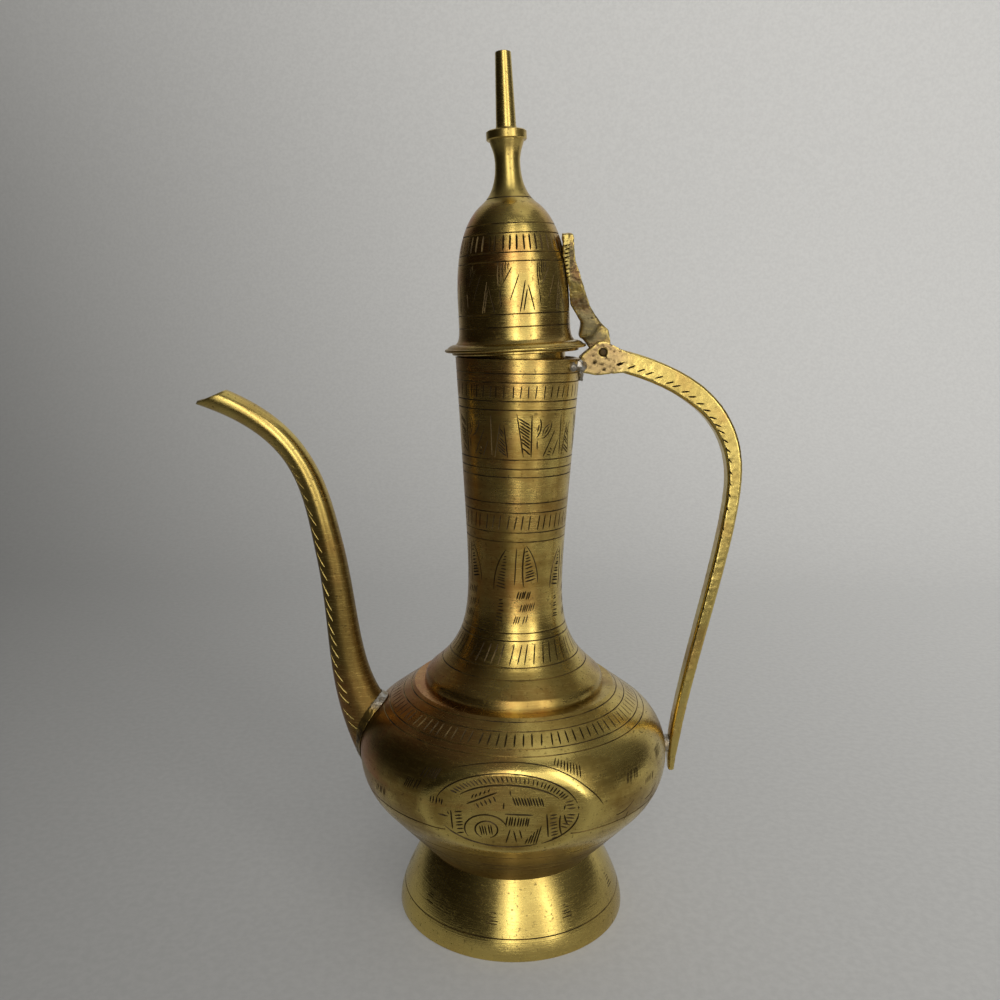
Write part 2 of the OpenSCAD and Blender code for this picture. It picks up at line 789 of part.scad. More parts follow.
// Shares of the stem's height and foot that shape its two curves
waist_share = 0.65;
foot_guide = [0.55, 0.16];
waist_guides = [0.22, 0.15];
top_guide = [0.6, 0.9];
collar_round = 0.4;
module finial_stem() {
    waist = [stem_waist_d / 2, stem_h * waist_share];
    top = [stem_top_d / 2, stem_h];
    foot_curve = [for (i = [0:curve_n])
        cubic([dome_top_r, 0], [dome_top_r * foot_guide[0], stem_h * foot_guide[1]],
              waist - [0, stem_h * waist_guides[0]], waist, i / curve_n)];
    top_curve = [for (i = [1:curve_n / 2])
        cubic(waist, waist + [0, stem_h * waist_guides[1]],
              [top[0] - top_guide[0], stem_h * top_guide[1]], top, 2 * i / curve_n)];
    plug = dome_top_r - ring_w - plug_fit;
    collar_r = collar_d / 2 - collar_round;
    color(brass)
        on_lid(stem_z)
            difference() {
                rotate_extrude()
                    polygon(concat(
                        [[0, -stem_plug_h], [plug, -stem_plug_h], [plug, 0]],
                        foot_curve,
                        top_curve,
                        bowed([collar_r, stem_h], [collar_r, stem_h + collar_h], collar_round, rim_n),
                        [[0, stem_h + collar_h]]));
                translate([0, 0, stem_h + collar_h - tenon_h])
                    cylinder(d = tenon_d + plug_fit, h = tenon_h + overcut);
            }
}

// Foot of the spike: its flare, its upright edge and the height of its cove
flare_w = 0.6;
flare_edge_h = 0.4;
cove_h = 2;
tip_round = 0.5;
tenon_lap = 0.2;
module finial_spike() {
    r = spike_d / 2;
    tip_r = spike_tip_d / 2;
    color(brass)
        on_lid(spike_z) {
            rotate_extrude()
                polygon(concat(
                    [[0, 0], [r + flare_w, 0]],
                    [for (i = [0:rim_n]) let (a = 90 * i / rim_n)
                        [r + flare_w * (1 - sin(a)), flare_edge_h + cove_h * (1 - cos(a))]],
                    [[tip_r, spike_h - tip_round], [tip_r - tip_round, spike_h], [0, spike_h]]));
            translate([0, 0, tenon_lap - tenon_h])
                cylinder(d = tenon_d, h = tenon_h);
        }
}

// Side view of the thumb lever above its tongue, from the flange to the thumb end.
// The points of its toe are measured from above the pin, those of its belly from its middle
lever_low_h = 10.2;
lever_mid_h = 21.1;
lever_waist_h = 15;
toe_inside = [[-8.2, 2.6], [-6.8, 0], [-7.8, -4], [-7.8, -5.2]];
toe_outside = [[-3.4, -4.4], [-0.2, 0]];
belly_rise = [-0.6, 3.6];
belly_back = [2, -6];
neck_back = [0.4, -8];
module lever_outline() {
    top = [hinge_x - lever_lean_in, hinge_z + lever_h];
    mid = [hinge_x - lever_mid_in, hinge_z + lever_mid_h];
    low = [hinge_x, hinge_z + lever_low_h];
    polygon(concat(
        [top, mid + belly_rise, mid],
        [for (p = concat(toe_inside, toe_outside)) low + p],
        [mid + [lever_mid_w, 0] + belly_back, mid + [lever_mid_w, 0]],
        [top + [lever_top_w, 0] + neck_back, top + [lever_top_w, 0]]));
}

// Front view of the thumb lever: a waisted blade that widens to its thumb end
toe_wider = 1.4;
leaf_from = 4;
leaf_tip = [0.8, 3];
module lever_front() {
    toe = (lever_waist_t + toe_wider) / 2;
    leaf = lever_top_t / 2;
    side = [
        [toe, hinge_z], [toe, hinge_z + lever_low_h],
        [lever_waist_t / 2, hinge_z + lever_waist_h], [leaf, hinge_z + lever_mid_h + leaf_from],
        [leaf, hinge_z + lever_h - leaf_tip[1]], [leaf - leaf_tip[0], hinge_z + lever_h]];
    polygon(concat(side, [for (p = reverse(side)) [-p[0], p[1]]]));
}

// The lever's blade, bent to the front above its waist
module lever_blade() {
    bend_z = hinge_z + lever_low_h;
    translate([0, 0, bend_z])
        rotate([lever_bend, 0, 0])
            translate([0, 0, -bend_z])
                intersection() {
                    side_slab(far) lever_outline();
                    rotate([90, 0, 90])
                        linear_extrude(far)
                            lever_front();
                }
}

// Side view of the tongue: the eye around the pin and the root that joins the lever
eye_r = 3.3;
tongue_back = [[2.6, 7.4], [-0.6, 10.6]];
tongue_front = [[-6.4, 10.2], [-6.6, 5]];
module tongue_outline() {
    pin = [hinge_x, hinge_z];
    translate(pin)
        circle(eye_r);
    polygon([for (p = concat([[-eye_r, 0], [eye_r, 0]], tongue_back, tongue_front)) pin + p]);
}

module thumb_lever() {
    color(dark_brass)
        difference() {
            lean_lid()
                union() {
                    lever_blade();
                    side_slab(tongue_t) tongue_outline();
                }
            hinge_bore(pin_d / 2 + pin_clearance);
            on_lid(lid_z)
                rotate_extrude()
                    flange_section(solder_film);
            on_lid(dome_z)
                rotate_extrude()
                    polygon(concat(
                        [[0, 0]],
                        [for (p = dome_outside) [p[0] + lever_gap, p[1]]],
                        [[0, dome_h]]));
        }
}

foot();
bowl();
shoulder();
neck();
spout_front();
spout_back();
spout_solder();
handle();
handle_neck_solder();
handle_belly_solder();
hinge_pin();
lid_flange();
lid_dome();
finial_stem();
finial_spike();
thumb_lever();
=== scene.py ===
"""Aged brass ewer: spun, cast and soldered pieces with hand engraving, dressed round the fixed frame."""

import functools
import json
import random
from math import acos, atan2, ceil, cos, exp, hypot, pi, radians, sin, sqrt, tau

import bmesh
import bpy
import numpy as np
from bpy.props import FloatProperty, FloatVectorProperty, IntProperty, PointerProperty
from mathutils import Matrix, Vector, noise
from mathutils.kdtree import KDTree


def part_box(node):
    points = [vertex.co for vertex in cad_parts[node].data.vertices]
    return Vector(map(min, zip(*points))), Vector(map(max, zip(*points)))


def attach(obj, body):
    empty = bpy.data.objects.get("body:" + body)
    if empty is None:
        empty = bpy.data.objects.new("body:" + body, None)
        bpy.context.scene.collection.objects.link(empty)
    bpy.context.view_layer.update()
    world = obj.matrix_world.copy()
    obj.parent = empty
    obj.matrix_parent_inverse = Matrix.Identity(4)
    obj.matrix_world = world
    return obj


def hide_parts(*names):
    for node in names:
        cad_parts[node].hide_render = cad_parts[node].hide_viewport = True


bl_info = {
    "name": "Brass Ewer",
    "version": (1, 0, 0),
    "blender": (4, 5, 0),
    "location": "3D View > Sidebar > Ewer",
    "description": "Builds an engraved brass ewer with a hinged lid round its fixed frame",
    "category": "Add Mesh",
}

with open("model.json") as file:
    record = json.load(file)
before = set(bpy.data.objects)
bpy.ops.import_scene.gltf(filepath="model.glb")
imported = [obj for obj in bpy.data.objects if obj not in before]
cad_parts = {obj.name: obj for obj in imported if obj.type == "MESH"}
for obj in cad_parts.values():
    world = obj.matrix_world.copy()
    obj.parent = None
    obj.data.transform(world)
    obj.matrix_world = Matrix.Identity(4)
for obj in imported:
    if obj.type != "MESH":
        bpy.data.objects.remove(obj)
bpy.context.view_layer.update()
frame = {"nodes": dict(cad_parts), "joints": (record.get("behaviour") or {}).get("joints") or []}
MM = 0.001
HINGE = Vector(frame["joints"][0]["pos_m"])
FOOT_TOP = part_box("foot")[1]
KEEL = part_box("bowl")[1]
NECK_LOW, NECK_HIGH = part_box("neck")
SKIRT_R = NECK_HIGH.y

# Heights of the engraved rings in millimetres, above the floor, or above the foot of a lid's piece.
FOOT_RINGS = (7.8,)
BOWL_RINGS = (33.6, 36.2, 42.0, 53.8)
SHOULDER_RINGS = (77.9, 79.5, 83.2, 85.3)
NECK_RINGS = (
    95.2, 98.6, 106.7, 109.2, 141.2, 144.4, 151.3, 154.6, 163.5, 166.3, 169.4, 185.9, 188.8, 194.9, 197.8,
)
DOME_RINGS = (5.3, 9.4, 26.0, 28.8, 35.0, 38.1)
STEM_RINGS = (1.6,)

# Tick bands in millimetres: count, lower height, upper height and slant.
SHOULDER_BAND = (92, 79.7, 83.1, 0.5)
NECK_BANDS = ((49, 189.3, 194.4, 0.35), (43, 144.9, 150.8, 0.7), (46, 99.0, 106.2, 1.5))
DOME_BAND = (47, 28.9, 34.9, 0.15)

# Repeats of an ornament round a piece, the turn of the first one and the height of its foot.
FOOT_LEAVES, FOOT_LEAF_TURN, FOOT_LEAF_Z = 9, -1.75, 11.5 * MM
NECK_PANELS, UPPER_PANEL_TURN, UPPER_PANEL_Z = 5, 0.06 - pi / 2, 169.6 * MM
LOWER_PANEL_TURN, LOWER_PANEL_Z = 0.02 - pi / 2, 110 * MM
DOME_PANELS, DOME_PANEL_TURN, DOME_PANEL_Z = 9, radians(-116.5), 9.6 * MM

# Ticks along the spout, the handle and the lever.
SPOUT_TICKS, HANDLE_TICKS, LEVER_TICKS = 24, 36, 13

# The graver: the step of a stroke in millimetres, and shares of a cut's width or of a ring's.
STROKE_STEP = 0.8
STROKE_CLEAR, STROKE_TIP = 1.12, 0.4
RING_CLEAR, RING_DEPTH = 0.7, 0.45

# Seeds of the engraver's hand on each piece.
FOOT_SEED, SHOULDER_SEED, BELLY_SEED, NECK_SEED = 11, 23, 37, 41
SPOUT_SEED, HANDLE_SEED, DOME_SEED = 53, 61, 71

# Step along a turned outline.
TURNED_STEP = 0.8 * MM


def length(label, note, millimetres):
    """A length property whose default is given in millimetres."""
    return FloatProperty(name=label, description=note, default=millimetres * MM, unit="LENGTH", precision=5)


def colour(label, note, value):
    """A colour property in linear red, green and blue."""
    return FloatVectorProperty(
        name=label, description=note, default=value, size=3, min=0.0, max=1.0, subtype="COLOR"
    )


class EwerVessel(bpy.types.PropertyGroup):
    """Sizes of the turned vessel that the frame's boxes don't give."""

    foot_lip_h: length("Foot lip", "Height of the foot's upright lip", 3.0)
    foot_wall: length("Foot wall", "Thickness of the foot's wall", 2.2)
    foot_bulge: length("Foot bulge", "How far the foot's flank bows out", 0.9)
    foot_top_r: length("Foot top", "Radius where the foot meets the bowl", 31.3)
    plug_r: length("Plug", "Radius of the bowl's plug in the foot", 27.0)
    plug_h: length("Plug height", "Depth of the bowl's plug in the foot", 4.0)
    bowl_curve_r: length("Bowl curve", "Radius of the bowl's curve at the keel", 24.0)
    shoulder_curve_r: length("Shoulder curve", "Radius of the shoulder's curve at the keel", 20.0)
    ledge_w: length("Ledge", "Width of the flat ledge round the neck's skirt", 3.7)
    seat_w: length("Seat", "Width of the seat under the neck's skirt", 3.6)
    belly_wall: length("Belly wall", "Thickness of the belly's wall", 2.0)
    medallion_half: length("Medallion depth", "Distance from the axis to a medallion's middle", 51.8)
    medallion_r: length("Medallion radius", "Radius of a medallion's crown", 140.0)
    medallion_blend: length("Medallion blend", "Softness of a medallion's rim", 0.6)
    # The rubbed rim also carries a painted highlight along it.
    rim_reach: length("Rim reach", "Depth over which a medallion's rim is rubbed", 0.8)
    medallion_spread: FloatProperty(
        name="Medallion spread", description="Scale of a medallion's ornament", default=1.1
    )
    medallion_turn: FloatProperty(
        name="Medallion turn", description="Turn of the two medallions", default=radians(-2.5),
        subtype="ANGLE",
    )
    step_h: length("Skirt step", "Height of the step at the neck's skirt", 3.8)
    step_in: length("Step draw", "How far the step draws in at its top", 0.9)
    throat_r: length("Throat", "Radius of the neck's throat", 13.8)
    rim_r: length("Rim", "Radius of the neck's rim", 21.5)
    neck_wall: length("Neck wall", "Thickness of the neck's wall", 1.8)
    flare_fall: length("Flare", "Height over which the skirt's flare dies away", 11.7)
    flare_power: FloatProperty(name="Flare power", description="Sharpness of the skirt's flare", default=1.12)


class EwerLid(bpy.types.PropertyGroup):
    """Sizes of the lid and its finial, before the lid leans on the rim."""

    lean: FloatProperty(name="Lean", description="Lean of the lid", default=radians(3.2), subtype="ANGLE")
    offset: length("Offset", "Distance of the lid's axis from the neck's", 0.9)
    rise: length("Rise", "Height of the level lid above the rim", 3.0)
    flange_r: length("Flange", "Radius of the flange without its rolled edge", 23.3)
    flange_roll: length("Roll", "How far the flange's edge rolls out", 0.9)
    flange_roll_h: length("Roll height", "Half the height of the rolled edge", 1.085)
    lower_r: length("Lower ring", "Radius of the ring under the flange's lip", 21.7)
    lower_h: length("Lower ring height", "Height of the ring under the flange's lip", 0.95)
    flange_top_r: length("Flange top", "Radius at the top of the flange's slope", 20.6)
    flange_h: length("Flange height", "Height of the flange", 3.5)
    flange_bow: length("Flange bow", "How far the flange's slope bows out", 0.35)
    spigot_r: length("Spigot", "Radius of the spigot in the neck", 17.0)
    spigot_h: length("Spigot depth", "Depth of the spigot in the neck", 5.0)
    spigot_wall: length("Spigot wall", "Thickness of the spigot's wall", 1.6)
    dome_r: length("Dome", "Radius of the dome's straight part", 18.9)
    dome_h: length("Dome height", "Height of the dome up to the finial", 45.4)
    dome_straight_h: length("Dome side", "Height of the dome's straight part", 11.6)
    dome_full_h: length("Dome curve", "Height at which the dome's curve would close", 48.1)
    dome_flare: length("Dome flare", "Flare at the dome's foot", 1.4)
    dome_wall: length("Dome wall", "Thickness of the dome's wall", 1.6)
    dome_power: FloatProperty(name="Dome power", description="Squareness of the dome's curve", default=2.5)
    ring_w: length("Ring", "Width of the ring on the dome under the finial", 2.4)
    stem_plug_h: length("Stem plug", "Depth of the finial's plug in the dome", 2.5)
    stem_h: length("Stem height", "Height of the finial's stem", 20.2)
    waist_r: length("Waist", "Radius of the stem's waist", 4.2)
    stem_top_r: length("Stem top", "Radius of the stem's top", 5.8)
    collar_r: length("Collar", "Radius of the collar without its round edge", 6.3)
    collar_h: length("Collar height", "Height of the collar", 3.0)
    collar_round: length("Collar edge", "Roundness of the collar's edge", 0.4)
    spike_r: length("Spike", "Radius of the spike's foot", 3.3)
    spike_tip_r: length("Spike tip", "Radius of the spike's tip", 2.6)
    spike_h: length("Spike height", "Height of the spike", 24.5)
    spike_flare: length("Spike flare", "Width of the cove at the spike's foot", 0.6)


class EwerFittings(bpy.types.PropertyGroup):
    """Sizes of the spout, the handle and the hinge pin."""

    root_in: length("Root", "How far the spout's axis starts inside the keel", 6.4)
    root_rise: length("Root rise", "Height of the spout's root above the keel", 3.5)
    mid_out: length("Middle", "How far the spout's middle stands off the keel", 10.5)
    mid_rise: length("Middle rise", "Height of the spout's middle above the keel", 72.8)
    reach: length("Reach", "How far the spout's end stands off the keel", 58.2)
    end_rise: length("End rise", "Height of the spout's end above the keel", 128.8)
    root_w: length("Root width", "Width of the spout at its root, seen from the side", 21.4)
    root_t: length("Root thickness", "Thickness of the spout at its root", 17.0)
    slim_w: length("Slim width", "Width of the spout's upper part", 9.7)
    slim_t: length("Slim thickness", "Thickness of the spout's upper part", 9.4)
    beak_w: length("Beak width", "Width of the spout at its beak", 8.4)
    spout_wall: length("Spout wall", "Thickness of the spout's wall", 1.3)
    root_film: length("Root gap", "Gap between the spout and the belly, filled by solder", 0.3)
    handle_reach: length("Handle reach", "Outermost line of the handle's axis", 76.0)
    handle_drop: length("Handle drop", "Depth of the outermost line below the hinge", 43.9)
    tail_out: length("Tail", "How far the tail's axis ends off the keel", 3.0)
    tail_len: length("Tail depth", "How far the tail ends below the keel", 10.0)
    handle_t: length("Handle thickness", "Thickness of the handle at the hinge", 8.0)
    handle_low_t: length("Tail thickness", "Thickness of the handle above its tail", 6.6)
    pin_r: length("Pin", "Radius of the hinge pin", 1.35)


class EwerFinish(bpy.types.PropertyGroup):
    """Colours of the metals and steps of the turned meshes."""

    # Bright brass also paints the highlight along a medallion's rim.
    bright: colour("Bright brass", "Rubbed brass", (0.70, 0.545, 0.165))
    # Dull brass and patina also paint shade on the bowl's underside and the spout's lower part.
    dull: colour("Dull brass", "Brass under a thin brown film", (0.29, 0.19, 0.046))
    # Red brass also paints a reflection of the spout on its side of the shoulder, the neck and the dome.
    copper: colour("Red brass", "Coppery film in the tarnish", (0.46, 0.15, 0.045))
    patina: colour("Patina", "Dark film in the engraved cuts", (0.045, 0.03, 0.014))
    sooty: colour("Sooty brass", "Greyed brass of the rough casting", (0.20, 0.165, 0.085))
    raw: colour("Raw casting", "Dusty brass of the unpolished head", (0.38, 0.265, 0.145))
    solder: colour("Solder", "Grey soft solder", (0.50, 0.49, 0.46))
    backdrop: colour("Backdrop", "Pale grey sweep", (0.60, 0.60, 0.59))
    ring_cut: length("Ring cut", "Width of an engraved ring", 0.42)
    tick_cut: length("Tick cut", "Width of an engraved tick", 0.62)
    steps: IntProperty(name="Steps", description="Steps round a turned piece", default=224, min=48, max=360)


def props(name):
    """One of the scene's property groups."""
    return getattr(bpy.context.scene, "ewer_" + name)


def mix(a, b, t):
    """The value a share t of the way from a to b."""
    return a + (b - a) * t


def shares(count):
    """Even shares from 0 to 1."""
    return [i / count for i in range(count + 1)]


def cubic(a, b, c, d, t):
    """Point on a cubic curve with the ends a and d and the guides b and c."""
    s = 1 - t
    return a * s**3 + b * (3 * s * s * t) + c * (3 * s * t * t) + d * t**3


def bowed(start, end, rise, count):
    """Points of an arc that stands off its chord by the rise, to the right of the way along it."""
    start, end = Vector(start), Vector(end)
    chord = (end - start).length
    if abs(rise) < chord * 1e-4:
        return [mix(start, end, t) for t in shares(count)]
    along = (end - start).normalized()
    right = Vector((along.y, -along.x))
    radius = (chord * chord / 4 + rise * rise) / (2 * rise)
    centre = (start + end) / 2 + right * (rise - radius)
    half = 2 * atan2(rise, chord / 2)
    turns = [mix(-half, half, t) for t in shares(count)]
    return [centre + radius * (right * cos(q) + along * sin(q)) for q in turns]


def plain(points):
    """Rows of an outline without engraving."""
    return [(p[0], p[1], 0.0) for p in points]


def scored(points, rings, width, step=TURNED_STEP):
    """Rows of an outline that runs upwards, with a ring cut at each height in millimetres."""
    points = [Vector(p) for p in points]
    run = [0.0]
    for a, b in zip(points, points[1:]):
        run.append(run[-1] + (b - a).length)

    def at(s):
        s = min(max(s, 0.0), run[-1])
        i = next(k for k in range(1, len(run)) if run[k] >= s - 1e-12)
        return mix(points[i - 1], points[i], (s - run[i - 1]) / max(run[i] - run[i - 1], 1e-9))

    def inward(s):
        way = at(s + step / 4) - at(s - step / 4)
        return Vector((-way.y, way.x)).normalized()

    cuts = []
    for height in (ring * MM for ring in rings):
        for i, (a, b) in enumerate(zip(points, points[1:])):
            if a.y <= height < b.y:
                cuts.append(run[i] + (b - a).length * (height - a.y) / (b.y - a.y))
                break
    count = ceil(run[-1] / step)
    even = [run[-1] * i / count for i in range(count + 1)]
    rows = [(s, 0.0) for s in even + run if all(abs(s - c) > width * RING_CLEAR for c in cuts)]
    rows += [(c + shift * width / 2, 1.0 - abs(shift)) for c in cuts for shift in (-1, 0, 1)]
    least = 0.02 * MM
    outline = []
    for s, depth in sorted(set(rows)):
        place = at(s) + inward(s) * depth * width * RING_DEPTH
        if not outline or hypot(place.x - outline[-1][0], place.y - outline[-1][1]) > least:
            outline.append((place.x, place.y, depth))
    return outline


def spun(outline, closed=True, place=None):
    """Turns an outline of (radius, height, scored) rows about the upright axis, and puts it in place."""
    bm = bmesh.new()
    cut = bm.verts.layers.float.new("cut")
    ring = []
    for radius, height, depth in outline:
        vert = bm.verts.new((radius, 0.0, height))
        vert[cut] = depth
        ring.append(vert)
    pairs = list(zip(ring, ring[1:])) + ([(ring[-1], ring[0])] if closed else [])
    edges = [bm.edges.new(pair) for pair in pairs]
    bmesh.ops.spin(
        bm, geom=ring + edges, cent=(0, 0, 0), axis=(0, 0, 1), angle=tau,
        steps=props("finish").steps, use_merge=True, use_duplicate=False,
    )
    bmesh.ops.remove_doubles(bm, verts=bm.verts, dist=0.002 * MM)
    bmesh.ops.recalc_face_normals(bm, faces=bm.faces)
    if place:
        bmesh.ops.transform(bm, matrix=place, verts=bm.verts)
    return bm


def linked(name, data):
    """A new object in the scene."""
    made = bpy.data.objects.new(name, data)
    bpy.context.scene.collection.objects.link(made)
    return made


def smoothed(mesh, sharp):
    """Shades a mesh smooth, apart from edges sharper than an angle in degrees."""
    mesh.shade_smooth()
    mesh.set_sharp_from_angle(angle=radians(sharp))


def finished(bm, name, metals, body, node, sharp=35):
    """Makes a bmesh a piece that rides on a body and stands for its CAD node."""
    cut = bm.verts.layers.float.get("cut")
    for face in bm.faces if cut else ():
        if max(v[cut] for v in face.verts) > 0.5:
            face.material_index = 2
    mesh = bpy.data.meshes.new(name)
    bm.to_mesh(mesh)
    bm.free()
    for metal in metals:
        mesh.materials.append(metal)
    smoothed(mesh, sharp)
    piece = linked(name, mesh)
    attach(piece, body)
    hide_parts(node)
    return piece


def modify(piece, name, kind, **settings):
    """Adds a modifier with its settings."""
    modifier = piece.modifiers.new(name, kind)
    for key, value in settings.items():
        setattr(modifier, key, value)


def shown(piece):
    """A new mesh of an object as it shows, with its modifiers or its bevel."""
    bpy.context.view_layer.update()
    return bpy.data.meshes.new_from_object(piece.evaluated_get(bpy.context.evaluated_depsgraph_get()))


def baked(piece, sharp=35):
    """Puts the result of a piece's modifiers in its mesh."""
    before, mesh = piece.data, shown(piece)
    mesh.name = piece.name
    piece.modifiers.clear()
    piece.data = mesh
    bpy.data.meshes.remove(before)
    smoothed(mesh, sharp)


def spaced(strokes, gap):
    """The strokes that keep clear of every stroke before them."""
    tree = KDTree(sum(len(stroke) for stroke in strokes))
    owner = []
    for number, stroke in enumerate(strokes):
        for place in stroke:
            tree.insert(place, len(owner))
            owner.append(number)
    tree.balance()
    dropped = set()
    for number, stroke in enumerate(strokes):
        near = {owner[i] for place in stroke for _, i, _ in tree.find_range(place, gap)}
        if any(other < number and other not in dropped for other in near):
            dropped.add(number)
    return [stroke for number, stroke in enumerate(strokes) if number not in dropped]


def graver(strokes, width):
    """Mesh of a cutter that follows the strokes and thins at both ends of each."""
    curve = bpy.data.curves.new("graver", "CURVE")
    curve.dimensions = "3D"
    curve.bevel_depth = width / 2
    curve.bevel_resolution = 0
    curve.use_fill_caps = True
    for stroke in strokes:
        spline = curve.splines.new("POLY")
        spline.points.add(len(stroke) - 1)
        for point, place, t in zip(spline.points, stroke, shares(len(stroke) - 1)):
            point.co = (*place, 1.0)
            point.radius = mix(STROKE_TIP, 1.0, min(1.0, 2.2 * sin(pi * t)))
    holder = linked("graver", curve)
    tool = shown(holder)
    bpy.data.objects.remove(holder)
    bpy.data.curves.remove(curve)
    bm = bmesh.new()
    bm.from_mesh(tool)
    bmesh.ops.remove_doubles(bm, verts=bm.verts, dist=0.001 * MM)
    bmesh.ops.recalc_face_normals(bm, faces=bm.faces)
    for face in bm.faces:
        face.material_index = 1
    bm.to_mesh(tool)
    bm.free()
    return tool


def carve(piece, strokes, width):
    """Cuts strokes into a piece. A stroke that would cross another is left out."""
    tool = graver(spaced(strokes, width * STROKE_CLEAR), width)
    cutter = linked("cutter", tool)
    modify(piece, "engraving", "BOOLEAN", operation="DIFFERENCE", solver="MANIFOLD", object=cutter)
    faces = len(piece.data.polygons)
    baked(piece)
    bpy.data.objects.remove(cutter)
    bpy.data.meshes.remove(tool)
    if len(piece.data.polygons) <= faces:
        raise RuntimeError(f"the engraving of {piece.name} cut nothing")


# Flat ornament: strokes are rows of points (along, up) in millimetres.


def line(start, end):
    """A straight stroke."""
    start, end = Vector(start), Vector(end)
    return [mix(start, end, t) for t in shares(max(2, ceil((end - start).length / STROKE_STEP)))]


def sweep(start, end, rise):
    """A stroke that bows to the right of its way."""
    chord = (Vector(end) - Vector(start)).length
    return bowed(start, end, rise, max(4, ceil(chord / STROKE_STEP)))


def oval(centre, across, up, first, last):
    """Part of an oval outline, between two angles in degrees."""
    count = max(5, ceil(radians(abs(last - first)) * max(across, up) / STROKE_STEP))
    turns = [radians(mix(first, last, t)) for t in shares(count)]
    return [Vector((centre[0] + across * cos(q), centre[1] + up * sin(q))) for q in turns]


def drawn(*rows):
    """Strokes by their ends (along, up, along, up); a fifth number is the rise of a bowed one."""
    return [sweep(row[:2], row[2:4], row[4]) if row[4:] else line(row[:2], row[2:]) for row in rows]


def rungs(first, second, count):
    """Hatching between two straight sides, each given by its two ends."""
    sides = [(Vector(a), Vector(b)) for a, b in (first, second)]
    middles = [(i + 0.5) / count for i in range(count)]
    return [line(mix(*sides[0], t), mix(*sides[1], t)) for t in middles]


def ladders(*rows):
    """Hatched patches: the ends of one side, the ends of the other side, and the count of rungs."""
    return [stroke for a, b, c, d, count in rows for stroke in rungs((a, b), (c, d), count)]


def by_hand(strokes, hand, slip=0.12):
    """The strokes with the small slips of a hand-held graver."""
    moved = []
    for stroke in strokes:
        shift = Vector((hand.gauss(0, slip), hand.gauss(0, slip)))
        moved.append([p + shift for p in stroke])
    return moved


def leaf(foot, tip, rise):
    """The two bowed sides of a leaf; the second one keeps clear of the first one's ends."""
    foot, tip = Vector(foot), Vector(tip)
    return [sweep(foot, tip, rise), sweep(mix(foot, tip, 0.14), mix(foot, tip, 0.86), -rise)]


# Outlines of the turned pieces.


def neck_radius(z):
    """Radius of the neck's outside at a height."""
    v = props("vessel")
    h = z - NECK_LOW.z - v.step_h
    span = NECK_HIGH.z - NECK_LOW.z - v.step_h
    flare = SKIRT_R - v.step_in - v.throat_r
    return mix(v.throat_r, v.rim_r, h / span) + flare * exp(-((max(h, 0.0) / v.flare_fall) ** v.flare_power))


def belly_side(upper):
    """End of the flank, radius of the curve at the keel, and the angle where the flank touches it."""
    v = props("vessel")
    if upper:
        end, curve = Vector((SKIRT_R + v.ledge_w, NECK_LOW.z)), v.shoulder_curve_r
    else:
        end, curve = Vector((v.foot_top_r, FOOT_TOP.z)), v.bowl_curve_r
    off = end - Vector((KEEL.x - curve, KEEL.z))
    return end, curve, atan2(off.y, off.x) - (1 if upper else -1) * acos(curve / off.length)


def belly_outline(upper, shrink, count=24):
    """Outline from the keel to the end of the flank, moved inwards."""
    end, curve, touch = belly_side(upper)
    centre = Vector((KEEL.x - curve, KEEL.z))
    turns = [touch * i / count for i in range(count + 1)]
    arc = [centre + (curve - shrink) * Vector((cos(q), sin(q))) for q in turns]
    return arc + [end - shrink * Vector((cos(touch), sin(touch)))]


def belly_radius(z):
    """Radius of the belly's outside at a height."""
    end, curve, touch = belly_side(z >= KEEL.z)
    h = z - KEEL.z
    if abs(h) < abs(curve * sin(touch)):
        return KEEL.x - curve + sqrt(curve * curve - h * h)
    along = Vector((-sin(touch), cos(touch)))
    return end.x + along.x * (z - end.y) / along.y


def dome_radius(v):
    """Radius of the dome's outside at a height above the flange."""
    d = props("lid")
    h = max(v - d.dome_straight_h, 0.0) / (d.dome_full_h - d.dome_straight_h)
    return d.dome_r * (1 - h**d.dome_power) ** (1 / d.dome_power) + d.dome_flare * exp(-v / d.dome_flare)


def lid_place(height):
    """Puts a piece that is turned about its own axis on the leaning lid, a height above the rim."""
    d = props("lid")
    lean = Matrix.Translation(HINGE) @ Matrix.Rotation(-d.lean, 4, "Y") @ Matrix.Translation(-HINGE)
    return lean @ Matrix.Translation((-d.offset, 0.0, NECK_HIGH.z + d.rise + height))


def medallion_depth(x, z):
    """Distance of a medallion's crown from the plane of the handle, in the medallion's own frame."""
    v = props("vessel")
    fall = v.medallion_r**2 - x * x - (z - KEEL.z) ** 2
    return v.medallion_half - v.medallion_r + sqrt(max(fall, 0.0))


def flatten_medallions(bm):
    """Presses the belly flat at the front and the back, with a soft rim."""
    v = props("vessel")
    turn = Matrix.Rotation(v.medallion_turn, 3, "Z")
    cut = bm.verts.layers.float["cut"]
    for vert in bm.verts:
        place = turn.transposed() @ vert.co
        inner = hypot(vert.co.x, vert.co.y) < belly_radius(vert.co.z) - v.belly_wall / 2
        crown = medallion_depth(place.x, place.z) - (v.belly_wall if inner else 0.0)
        depth = abs(place.y)
        soft = max(v.medallion_blend - abs(depth - crown), 0.0) / v.medallion_blend
        pressed = min(depth, crown) - soft * soft * v.medallion_blend / 4
        if pressed < depth:
            place.y = pressed if place.y > 0 else -pressed
            vert.co = turn @ place
            if depth - pressed > 0.5 * v.medallion_blend:
                vert[cut] = 0.0


def rub_rims(piece):
    """Notes how near each point of the belly is to a medallion's rim, where the film is rubbed off and a
    highlight is painted along the rim.
    """
    v = props("vessel")
    turn = Matrix.Rotation(-v.medallion_turn, 3, "Z")
    near = []
    for vert in piece.data.vertices:
        place = turn @ vert.co
        round_y = sqrt(max(belly_radius(place.z) ** 2 - place.x * place.x, 0.0))
        gap = (round_y - medallion_depth(place.x, place.z)) / v.rim_reach + 0.5
        near.append(exp(-gap * gap))
    piece.data.attributes.new("rubbed", "FLOAT", "POINT").data.foreach_set("value", near)


